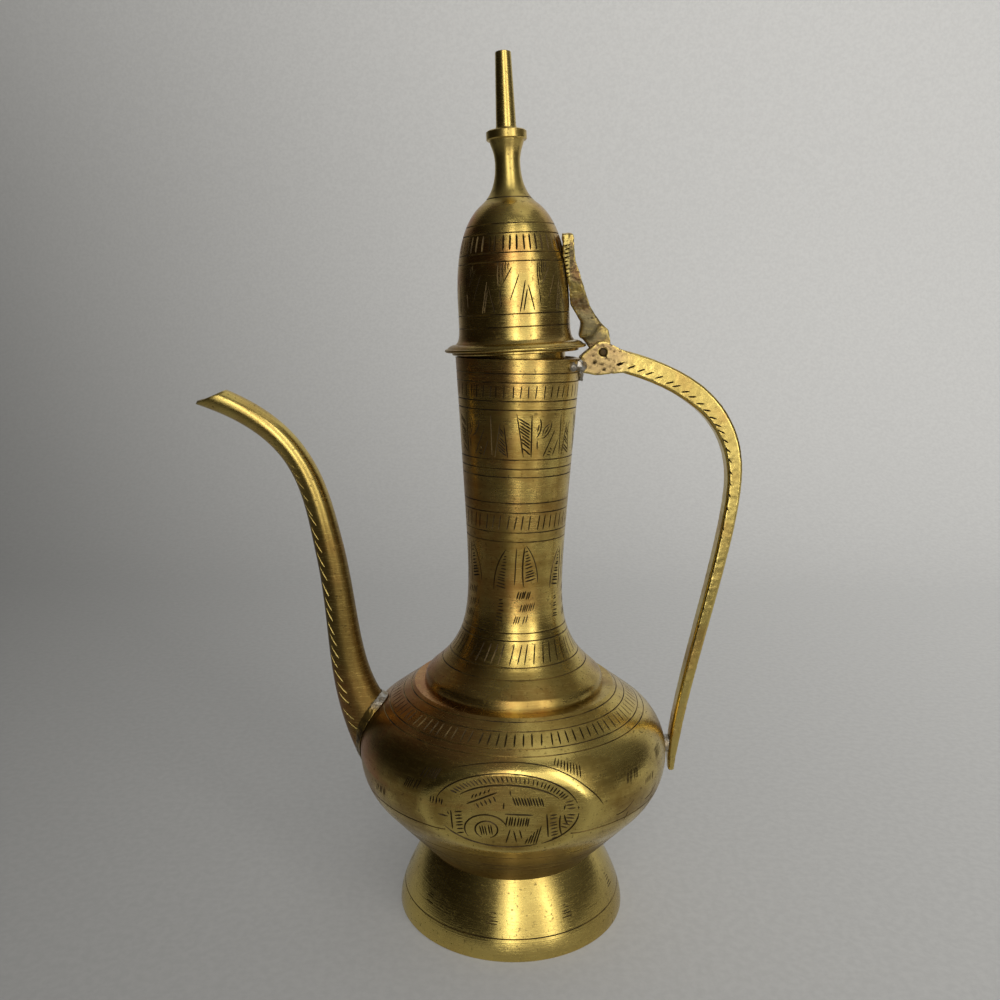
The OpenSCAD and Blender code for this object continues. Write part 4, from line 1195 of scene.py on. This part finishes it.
class EWER_OT_spout(bpy.types.Operator):
    """Lofts the spout's two half shells and cuts the ticks along them"""

    bl_idname = "ewer.spout"
    bl_label = "Spout"

    def execute(self, context):
        self.half(-1, "spout_shell_front", "spout_front")
        self.half(1, "spout_shell_back", "spout_back")
        return {"FINISHED"}

    def half(self, side, name, node):
        """One half shell with its wall."""
        t, f = props("fittings"), props("finish")
        bm = bmesh.new()
        bmesh.ops.create_grid(bm, x_segments=26, y_segments=150, size=0.5)
        for vert in bm.verts:
            q = side * pi * round(vert.co.x + 0.5, 5)
            first, last = spout_ends(q)
            vert.co = spout_point(mix(first, last, vert.co.y + 0.5), q)
        bmesh.ops.recalc_face_normals(bm, faces=bm.faces)
        half_way = KEEL.z + t.mid_rise
        middle = min(bm.faces, key=lambda face: abs(face.calc_center_median().z - half_way))
        if middle.normal.y * side < 0:
            bmesh.ops.reverse_faces(bm, faces=bm.faces)
        # Painted shade darkens the spout's lower part, below 182 mm.
        skin = brass("spout_brass", 0.5, 0.3, 0.25, 0.0, soil=(182.0, 112.0, 1.25))
        # The spout's ticks are painted bright: bare metal, and a painted glint of their walls.
        shell = finished(bm, name, [skin, groove("bare_and_glinting_cut", 1.0, 0.85)], "vessel", node)
        modify(shell, "wall", "SOLIDIFY", thickness=t.spout_wall, offset=-1, use_even_offset=True)
        corner = 50
        modify(shell, "seam", "BEVEL", width=0.16 * MM, segments=2, limit_method="ANGLE",
               angle_limit=radians(corner))
        baked(shell, corner)
        hand = random.Random(SPOUT_SEED)
        slant = side * TICK_SLANT
        ticks = []
        for share in shares(SPOUT_TICKS - 1):
            s = mix(TICK_START, TICK_END, share) + hand.gauss(0, 0.008)
            q = side * radians(TICK_SIDE + hand.gauss(0, 3))
            steps = (-1.0, -0.5, 0.0, 0.5, 1.0)
            ticks.append([spout_point(s + TICK_HALF * k, q + slant * k) for k in steps])
        carve(shell, ticks, f.tick_cut * 0.9)


# The handle's axis: its start off the hinge, and its guides at the arch, the outermost line and the tail.
ARCH_SHIFT = Vector((3.0, -2.0)) * MM
ARCH_GUIDE = Vector((21.0, -4.8)) * MM
BEND_GUIDE_HIGH, BEND_GUIDE_LOW = 27.5 * MM, 25.5 * MM
TAIL_GUIDE = Vector((-1.4, 23.5)) * MM


def handle_axis(s):
    """Handle's axis in its own plane, from 0 at the hinge to 1 at the outermost line and 2 at the tail."""
    t = props("fittings")
    start = Vector((HINGE.x, HINGE.z)) + ARCH_SHIFT
    bend = Vector((t.handle_reach, HINGE.z - t.handle_drop))
    tail = Vector((KEEL.x + t.tail_out, KEEL.z - t.tail_len))
    if s < 1:
        return cubic(start, start + ARCH_GUIDE, bend + Vector((0, BEND_GUIDE_HIGH)), bend, s)
    return cubic(bend, bend - Vector((0, BEND_GUIDE_LOW)), tail + TAIL_GUIDE, tail, s - 1)


def skin_of(node, name, metals, voxel, rough, grain, body, slot, smooth=4, drops=()):
    """A cast or soldered skin: a merged copy of the node, with any drops, remeshed fine and roughened."""
    bm = bmesh.new()
    bm.from_mesh(frame["nodes"][node].data)
    bmesh.ops.remove_doubles(bm, verts=bm.verts, dist=0.001 * MM)
    for centre, radius in drops:
        bmesh.ops.create_icosphere(bm, subdivisions=3, radius=radius, matrix=Matrix.Translation(centre))
    for face in bm.faces:
        face.material_index = 0
    piece = finished(bm, name, metals, body, node, 60)
    modify(piece, "skin", "REMESH", mode="VOXEL", voxel_size=voxel)
    modify(piece, "even", "SMOOTH", factor=0.5, iterations=smooth)
    clouds = bpy.data.textures.new(name + "_sand", "CLOUDS")
    clouds.noise_scale = grain
    clouds.noise_depth = 3
    modify(piece, "sand", "DISPLACE", texture=clouds, texture_coords="LOCAL", strength=rough, mid_level=0.55)
    baked(piece, 60)
    return piece


def softened(piece, middle, reach, rounds):
    """Rounds off the folds of a casting round a middle."""
    bm = bmesh.new()
    bm.from_mesh(piece.data)
    near = [vert for vert in bm.verts if (vert.co - middle).length < reach]
    for _ in range(rounds):
        bmesh.ops.smooth_vert(bm, verts=near, factor=0.5, use_axis_x=True, use_axis_y=True, use_axis_z=True)
    bm.to_mesh(piece.data)
    bm.free()


def weather(piece, middle=None, reach=1.0, depth=0.0, size=1.0):
    """Sinks casting pits round a middle.

    It also notes at each point how worn it is, from 0 in hollows to 1 on edges, and how raw.
    """
    fade, quiet, level, contrast = 2.2, 0.12, 0.45, 4.0
    mesh = piece.data
    count = len(mesh.vertices)
    places, normals = np.empty(count * 3), np.empty(count * 3)
    mesh.vertices.foreach_get("co", places)
    mesh.vertices.foreach_get("normal", normals)
    ends = np.empty(len(mesh.edges) * 2, dtype=np.int64)
    mesh.edges.foreach_get("vertices", ends)
    places, normals, ends = places.reshape(-1, 3), normals.reshape(-1, 3), ends.reshape(-1, 2)
    raw = np.zeros(count)
    if middle:
        raw = np.clip(fade * (1 - np.linalg.norm(places - np.array(middle), axis=1) / reach), 0, 1)
        for i in np.nonzero(raw)[0]:
            pit = max(0.0, noise.noise(Vector(places[i]) / size) - quiet)
            places[i] -= normals[i] * (raw[i] * depth * pit)
        mesh.vertices.foreach_set("co", places.ravel())
        mesh.update()
    bend, links = np.zeros(count), np.zeros(count)
    for a, b in (ends.T, ends.T[::-1]):
        way = places[b] - places[a]
        span = np.maximum(np.linalg.norm(way, axis=1), 0.02 * MM)
        np.add.at(bend, a, -(way * normals[a]).sum(axis=1) / span)
        np.add.at(links, a, 1)
    bend /= np.maximum(links, 1)
    for _ in range(2):
        even = bend.copy()
        for a, b in (ends.T, ends.T[::-1]):
            np.add.at(even, a, bend[b])
        bend = even / (links + 1)
    worn = np.clip(level + contrast * bend, 0, 1)
    for name, values in (("worn", worn), ("raw", raw)):
        mesh.attributes.new(name, "FLOAT", "POINT").data.foreach_set("value", values)


class EWER_OT_handle(bpy.types.Operator):
    """Casts the handle with its forked head and cuts the ticks along its edge"""

    bl_idname = "ewer.handle"
    bl_label = "Handle"

    def execute(self, context):
        t, f = props("fittings"), props("finish")
        metals = [casting("handle_brass", 0.35, 0.5, 0.18), groove("cut_patina", 0.22)]
        skin = 0.38 * MM, 0.16 * MM, 2.2 * MM
        strap = skin_of("handle", "handle_strap", metals, *skin, "vessel", "cast_brass")
        hand = random.Random(HANDLE_SEED)
        along_mm, across_mm, strap_mm, end = 2.3, 1.7, 7.6, 1.9
        ticks = []
        for side in (-1, 1):
            for step in shares(HANDLE_TICKS - 1):
                s = mix(0.06, end, step) + hand.gauss(0, 0.006)
                way = (handle_axis(s + 0.01) - handle_axis(s - 0.01)).normalized()
                across = Vector((-way.y, way.x))
                low = mix(0.12, 0.26, min(s, 1.0))
                face = mix(t.handle_t, t.handle_low_t, s / end) / 2
                row = []
                for share in shares(4):
                    slant = (way * along_mm + across * across_mm) * ((share - 0.5) * MM)
                    p = handle_axis(s) + slant - across * (strap_mm * low * MM)
                    row.append(Vector((p.x, side * face, p.y)))
                ticks.append(row)
        carve(strap, ticks, f.tick_cut)
        weather(strap, HINGE + Vector((0.0, 0.0, -2.0)) * MM, 12 * MM, 0.65 * MM, 1.2 * MM)
        return {"FINISHED"}


class EWER_OT_solder(bpy.types.Operator):
    """Runs the three solder lumps that hold the spout and the handle"""

    bl_idname = "ewer.solder"
    bl_label = "Solder"

    def execute(self, context):
        bead_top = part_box("spout_solder")[1].z - 5 * MM
        bead, lump = soft_solder("bead_solder", bead_top), soft_solder("lump_solder", 0.0)
        drops = []
        for side in (-1, 1):
            for turn, below, size in ((10, 4.6, 2.0), (22, 4.0, 2.0), (35, 4.6, 1.6)):
                q, z = side * radians(turn), HINGE.z - below * MM
                r = neck_radius(z) + 0.5 * MM
                drops.append((Vector((r * cos(q), r * sin(q), z)), size * MM))
        for node, name, metal, voxel, rough, beads in (
            ("spout_solder", "solder_bead_spout", bead, 0.22, 0.25, ()),
            ("handle_neck_solder", "solder_lump_neck", lump, 0.25, 0.5, drops),
            ("handle_belly_solder", "solder_pad_tail", lump, 0.22, 0.3, ()),
        ):
            skin_of(node, name, [metal], voxel * MM, rough * MM, 1.1 * MM, "vessel", "solder", 2, beads)
        return {"FINISHED"}


class EWER_OT_hinge(bpy.types.Operator):
    """Turns the hinge pin with its peened ends"""

    bl_idname = "ewer.hinge"
    bl_label = "Hinge pin"

    def execute(self, context):
        t = props("fittings")
        low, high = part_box("hinge_pin")
        half = (high.y - low.y) / 2
        crown = 0.5 * MM
        outline = [(0.0, -half)]
        outline += [(t.pin_r * sin(q), -half + crown * (1 - cos(q))) for q in (0.5, 0.9, 1.25, pi / 2)]
        outline += [(r, -z) for r, z in reversed(outline)]
        bm = spun(plain(outline), closed=False)
        bmesh.ops.rotate(bm, verts=bm.verts, cent=(0, 0, 0), matrix=Matrix.Rotation(pi / 2, 3, "X"))
        bmesh.ops.translate(bm, verts=bm.verts, vec=HINGE)
        bmesh.ops.recalc_face_normals(bm, faces=bm.faces)
        finished(bm, "pivot_pin", [groove("pin_patina", 0.5)], "vessel", "hinge_pin")
        return {"FINISHED"}


def dome_panel():
    """Hatched up and down triangles of the dome's panel, one repeat."""
    strokes = drawn((-2.4, 0.4, -0.3, 10.4), (2.4, 0.4, 0.5, 8.8))
    for start, rise in ((-1.4, 7.0), (-0.5, 5.6), (0.4, 4.0), (1.3, 2.4)):
        strokes.append(line((start, 0.5), (start + 0.21 * rise, 0.5 + rise)))
    for i, fall in enumerate((7.6, 6.0, 4.7, 3.5, 2.3)):
        strokes.append(sweep((4.0 + 0.85 * i, 16.0), (3.9 + 0.8 * i, 16.0 - fall), 0.2))
    return strokes + drawn((8.6, 14.6, 5.4, 9.2), (4.2, 7.4, 4.5, 2.4), (10.6, 12.4, 7.4, 4.2))


class EWER_OT_lid(bpy.types.Operator):
    """Spins the lid's flange and its engraved dome"""

    bl_idname = "ewer.lid"
    bl_label = "Lid"

    def execute(self, context):
        d, f = props("lid"), props("finish")
        self.flange(d)
        self.dome(d, f)
        return {"FINISHED"}

    def flange(self, d):
        """Rolled ring with the spigot under it."""
        bore = d.spigot_r - d.spigot_wall
        turns = [radians(mix(-90, 90, t)) for t in shares(10)]
        middle, half = (d.lower_h + 2 * d.flange_roll_h) / 2, d.flange_roll_h - d.lower_h / 2
        roll = [(d.flange_r + d.flange_roll * cos(q), middle + half * sin(q)) for q in turns]
        slope = bowed(roll[-1], (d.flange_top_r, d.flange_h), d.flange_bow, 8)
        edge, groove_edge = 0.3 * MM, 0.2 * MM
        under = [(d.lower_r - edge, 0.0), (d.lower_r, edge), (d.lower_r, d.lower_h - groove_edge),
                 (d.lower_r - edge, d.lower_h)]
        spigot = [(bore, -d.spigot_h), (d.spigot_r, -d.spigot_h), (d.spigot_r, 0.0)]
        bm = spun(plain([*spigot, *under, *roll, *slope[1:], (bore, d.flange_h)]), place=lid_place(0.0))
        finished(bm, "lid_ring", spun_metals("flange_brass", 0.95, 0.35), "lid", "lid_flange")

    def dome(self, d, f):
        """Bell-shaped cover with its rings, tick band and panel."""
        place = lid_place(d.flange_h)
        heights = [d.dome_h * sin(pi / 2 * i / 70) for i in range(71)]
        outer = scored([(dome_radius(v), v) for v in heights], DOME_RINGS, f.ring_cut)
        inner = [(dome_radius(d.dome_h) - d.ring_w, d.dome_h)]
        inner += [(dome_radius(v) - d.dome_wall, v) for v in reversed(heights[:-1:4])
                  if dome_radius(v) - d.dome_wall > inner[0][0]]
        metals = spun_metals("dome_brass", 0.75, 1.0, blush=0.25)
        bm = spun(outer + plain(inner), place=place)
        dome = finished(bm, "lid_bell", metals, "lid", "lid_dome")
        hand = random.Random(DOME_SEED)
        carve(dome, tick_band(DOME_BAND, 0.4, hand, dome_radius, 32, place), f.tick_cut * 1.15)
        panels = ((dome_panel(), DOME_PANEL_TURN, DOME_PANEL_Z),)
        carve(dome, repeated(DOME_PANELS, panels, hand, dome_radius, place=place), f.tick_cut * 0.75)


class EWER_OT_finial(bpy.types.Operator):
    """Turns the finial's stem and spike"""

    bl_idname = "ewer.finial"
    bl_label = "Finial"

    def execute(self, context):
        d = props("lid")
        base = d.flange_h + d.dome_h
        self.stem(d, base)
        self.spike(d, base + d.stem_h + d.collar_h)
        return {"FINISHED"}

    def stem(self, d, height):
        """Waisted stem with its collar."""
        foot_r = dome_radius(d.dome_h)
        plug_r = foot_r - d.ring_w
        foot, waist = Vector((foot_r, 0.0)), Vector((d.waist_r, d.stem_h * 0.65))
        top, swell = Vector((d.stem_top_r, d.stem_h)), Vector((5.2 * MM, d.stem_h * 0.9))
        spread = Vector((foot_r * 0.55, d.stem_h * 0.16))
        below, above = Vector((0.0, d.stem_h * 0.22)), Vector((0.0, d.stem_h * 0.16))
        lower = [cubic(foot, spread, waist - below, waist, t) for t in shares(24)]
        upper = [cubic(waist, waist + above, swell, top, t) for t in shares(12)[1:]]
        brim, low, high = d.collar_r + d.collar_round, d.stem_h, d.stem_h + d.collar_h
        under, over, drawn_in = 0.3 * MM, 0.35 * MM, 0.4 * MM
        collar = [(brim - under, low), (brim, low + under), (brim, high - over), (brim - drawn_in, high)]
        outline = plain([(0.0, -d.stem_plug_h), (plug_r, -d.stem_plug_h), (plug_r, 0.0)])
        outline += scored([*lower, *upper], STEM_RINGS, 0.5 * MM, 0.6 * MM) + plain([*collar, (0.0, high)])
        metals = spun_metals("finial_brass", 0.6, 0.4, rough=0.25)
        bm = spun(outline, False, lid_place(height))
        finished(bm, "finial_knob", metals, "lid", "finial_stem")

    def spike(self, d, height):
        """Blunt rod with a cove at its foot."""
        edge, cove, tip = 0.4 * MM, 2.0 * MM, 0.5 * MM
        turns = [pi / 2 * t for t in shares(8)]
        outline = [(0.0, 0.0), (d.spike_r + d.spike_flare, 0.0)]
        outline += [(d.spike_r + d.spike_flare * (1 - sin(q)), edge + cove * (1 - cos(q))) for q in turns]
        start, end = Vector(outline[-1]), Vector((d.spike_tip_r, d.spike_h - tip))
        outline += [mix(start, end, t) for t in shares(10)[1:]]
        outline += [(d.spike_tip_r - 0.15 * tip, d.spike_h - 0.4 * tip)]
        outline += [(d.spike_tip_r - tip, d.spike_h), (0.0, d.spike_h)]
        metals = spun_metals("rod_brass", 0.35, 0.2, rough=0.21)
        bm = spun(plain(outline), False, lid_place(height))
        finished(bm, "finial_rod", metals, "lid", "finial_spike")


# The lever: the height and the angle of its bend, and half its thickness in millimetres.
LEVER_BEND_H, LEVER_BEND, LEVER_HALF = 10.2 * MM, radians(8), 4.5


class EWER_OT_lever(bpy.types.Operator):
    """Casts the thumb lever"""

    bl_idname = "ewer.lever"
    bl_label = "Thumb lever"

    def execute(self, context):
        d, f = props("lid"), props("finish")
        metals = [casting("lever_brass", 1.6, 0.8, 0.40, True), groove("cut_patina", 0.22)]
        skin = 0.3 * MM, 0.6 * MM, 1.5 * MM
        lever = skin_of("thumb_lever", "thumb_piece", metals, *skin, "lid", "cast_brass", 9)
        fold = HINGE + Vector((-4.3, 0.0, 7.6)) * MM
        for reach, rounds in ((7.0, 12), (5.6, 24)):
            softened(lever, fold, reach * MM, rounds)
        lean = Matrix.Translation(HINGE) @ Matrix.Rotation(-d.lean, 4, "Y")
        place = lean @ Matrix.Translation((0.0, 0.0, LEVER_BEND_H)) @ Matrix.Rotation(LEVER_BEND, 4, "X")
        ticks = []
        for side in (-1, 1):
            for t in shares(LEVER_TICKS - 1):
                up, edge = mix(13.0, 28.5, t), mix(-13.0, -12.4, t)
                row = [Vector((edge + k, side * LEVER_HALF, up + 0.2 * k)) for k in (0.1, 0.8, 1.5, 2.2)]
                ticks.append([place @ (p * MM) for p in row])
        carve(lever, ticks, f.tick_cut)
        weather(lever)
        flat = place.inverted()
        low, high, inner, rubbed = 10.0, 31.0, -10.5, 0.82
        for vert, worn in zip(lever.data.vertices, lever.data.attributes["worn"].data):
            p = flat @ vert.co / MM
            if low < p.z < high and p.x < inner:
                worn.value = max(worn.value, rubbed)
        return {"FINISHED"}


class EWER_OT_stage(bpy.types.Operator):
    """Sets the pale sweep, the soft lamps and the camera"""

    bl_idname = "ewer.stage"
    bl_label = "Stage"

    def execute(self, context):
        context.scene.view_settings.view_transform = "Standard"
        self.sweep()
        self.lamps()
        self.world(context)
        self.camera(context)
        return {"FINISHED"}

    def sweep(self):
        """Floor that curves up into a backdrop."""
        bm = bmesh.new()
        half, front, back, top, bend = 1.5, -0.62, 0.42, 1.7, 0.35
        curve = [(back + bend * sin(q), bend * (1 - cos(q))) for q in (pi / 2 * t for t in shares(16))]
        verts = [bm.verts.new((-half, y, z)) for y, z in ((front, 0.0), *curve, (back + bend, top))]
        edges = [bm.edges.new(pair) for pair in zip(verts, verts[1:])]
        made = bmesh.ops.extrude_edge_only(bm, edges=edges)["geom"]
        far = [g for g in made if isinstance(g, bmesh.types.BMVert)]
        bmesh.ops.translate(bm, verts=far, vec=(2 * half, 0, 0))
        bmesh.ops.recalc_face_normals(bm, faces=bm.faces)
        mesh = bpy.data.meshes.new("sweep")
        bm.to_mesh(mesh)
        bm.free()
        mesh.shade_smooth()
        mesh.materials.append(self.cloth())
        linked("sweep", mesh)

    def cloth(self):
        """Pale cloth with painted light: lighter to the right and the back, painted darker in front, and a
        painted glow where it is seen.
        """
        backdrop = props("finish").backdrop
        # The dim colour is the painted shade of the cloth.
        dim, low, high = ([c * k for c in backdrop] for k in (0.22, 0.93, 1.05))
        cloth, net, shader, place = new_material("sweep_cloth", 0.0)
        x, y, z = net.parts(place)
        # Painted shade: the floor in front is darker.
        front = net.sum((net.ramp(y, -0.40, -0.05), 0.7), 0.3)
        # Painted light: the cloth is lighter to the right, upwards and to the back.
        light = net.times(net.ramp(net.sum(x, (z, 0.5), (y, 0.3)), -0.75, 0.55), front)
        pile = net.blend(net.ramp(net.noise(place, 320.0, 3.0, 0.6), 0.3, 0.7), low, high)
        # Painted glow for camera and mirror rays, brighter to the right and the back, though the cloth is no
        # lamp.
        rays = net.add("ShaderNodeLightPath")
        mirrored = net.math("MAXIMUM", rays["Is Glossy Ray"], rays["Is Transmission Ray"])
        seen = net.times(net.math("MAXIMUM", rays["Is Camera Ray"], mirrored), front)
        far = net.ramp(net.sum(z, (y, 0.6), (x, 1.75)), -1.75, 2.0)
        net.fill(shader, {
            "Base Color": net.blend(light, dim, pile), "Roughness": 0.95, "Specular IOR Level": 0.1,
            "Emission Color": net.blend(net.times(seen, far), (0.0, 0.0, 0.0), (0.31, 0.31, 0.302)),
            "Emission Strength": 1.0,
        })
        return cloth

    def lamps(self):
        """Two tall window panes beside the camera, a dim panel between them and a top light."""
        window, sky = (1.0, 0.97, 0.92), (1.0, 0.99, 0.97)
        for name, place, aim, size, power, tint in (
            ("pane_left", (0.03, -1.12, 0.79), (0.0, 0.0, 0.79), (0.18, 1.84), 3.0, window),
            ("pane_right", (0.74, -0.92, 0.79), (0.0, 0.0, 0.79), (0.18, 1.84), 2.8, window),
            ("curtain", (0.40, -1.17, 0.79), (0.0, 0.0, 0.79), (1.58, 1.84), 9.5, window),
            ("top", (0.40, 0.50, 1.45), (0.30, 0.50, 0.0), (1.8, 0.7), 2.0, sky),
        ):
            data = bpy.data.lights.new(name, "AREA")
            data.shape = "RECTANGLE"
            data.size, data.size_y = size
            data.energy = power
            data.color = tint
            lamp = linked(name, data)
            lamp.location = place
            lamp.rotation_euler = (Vector(aim) - Vector(place)).to_track_quat("-Z", "Y").to_euler()

    def world(self, context):
        """Dim warm room, brighter overhead."""
        world = bpy.data.worlds.new("room")
        world.use_nodes = True
        net = Net(world.node_tree)
        side, _, up = net.parts(net.add("ShaderNodeTexCoord")["Generated"])
        room = net.blend(net.ramp(up, -0.1, 0.9), (0.06, 0.052, 0.043), (0.24, 0.24, 0.235))
        tone = net.blend(net.ramp(side, -0.9, 0.3), (0.018, 0.015, 0.012), room)
        net.fill(world.node_tree.nodes["Background"].inputs, {"Color": tone, "Strength": 0.8})
        context.scene.world = world

    def camera(self, context):
        """Camera at the photograph's angle."""
        data = bpy.data.cameras.new("view")
        data.sensor_width = 36.0
        data.lens = 34.5
        camera = linked("view", data)
        place, tilt, roll = (-0.005714, -0.33234, 0.21543), radians(79.2593), radians(0.6066)
        turn = Matrix.Rotation(tilt, 4, "X") @ Matrix.Rotation(roll, 4, "Z")
        camera.matrix_world = Matrix.Translation(place) @ turn
        context.scene.camera = camera


OPERATORS = (
    EWER_OT_foot, EWER_OT_belly, EWER_OT_neck, EWER_OT_spout, EWER_OT_handle, EWER_OT_solder,
    EWER_OT_hinge, EWER_OT_lid, EWER_OT_finial, EWER_OT_lever, EWER_OT_stage,
)
GROUPS = {"vessel": EwerVessel, "lid": EwerLid, "fittings": EwerFittings, "finish": EwerFinish}


class EWER_PT_pieces(bpy.types.Panel):
    """Lists the ewer's pieces in the sidebar"""

    bl_idname = "EWER_PT_pieces"
    bl_label = "Brass Ewer"
    bl_space_type = "VIEW_3D"
    bl_region_type = "UI"
    bl_category = "Ewer"

    def draw(self, context):
        for operator in OPERATORS:
            self.layout.operator(operator.bl_idname)


def register():
    """Registers the property groups, the operators and the panel."""
    for name, kind in GROUPS.items():
        bpy.utils.register_class(kind)
        setattr(bpy.types.Scene, "ewer_" + name, PointerProperty(type=kind))
    for kind in (*OPERATORS, EWER_PT_pieces):
        bpy.utils.register_class(kind)


def unregister():
    """Takes everything that register added away again."""
    for kind in (EWER_PT_pieces, *reversed(OPERATORS)):
        bpy.utils.unregister_class(kind)
    for name, kind in GROUPS.items():
        delattr(bpy.types.Scene, "ewer_" + name)
        bpy.utils.unregister_class(kind)


def main():
    """Builds every piece in order."""
    register()
    for operator in OPERATORS:
        family, name = operator.bl_idname.split(".")
        getattr(getattr(bpy.ops, family), name)()


if __name__ == "__main__":
    main()
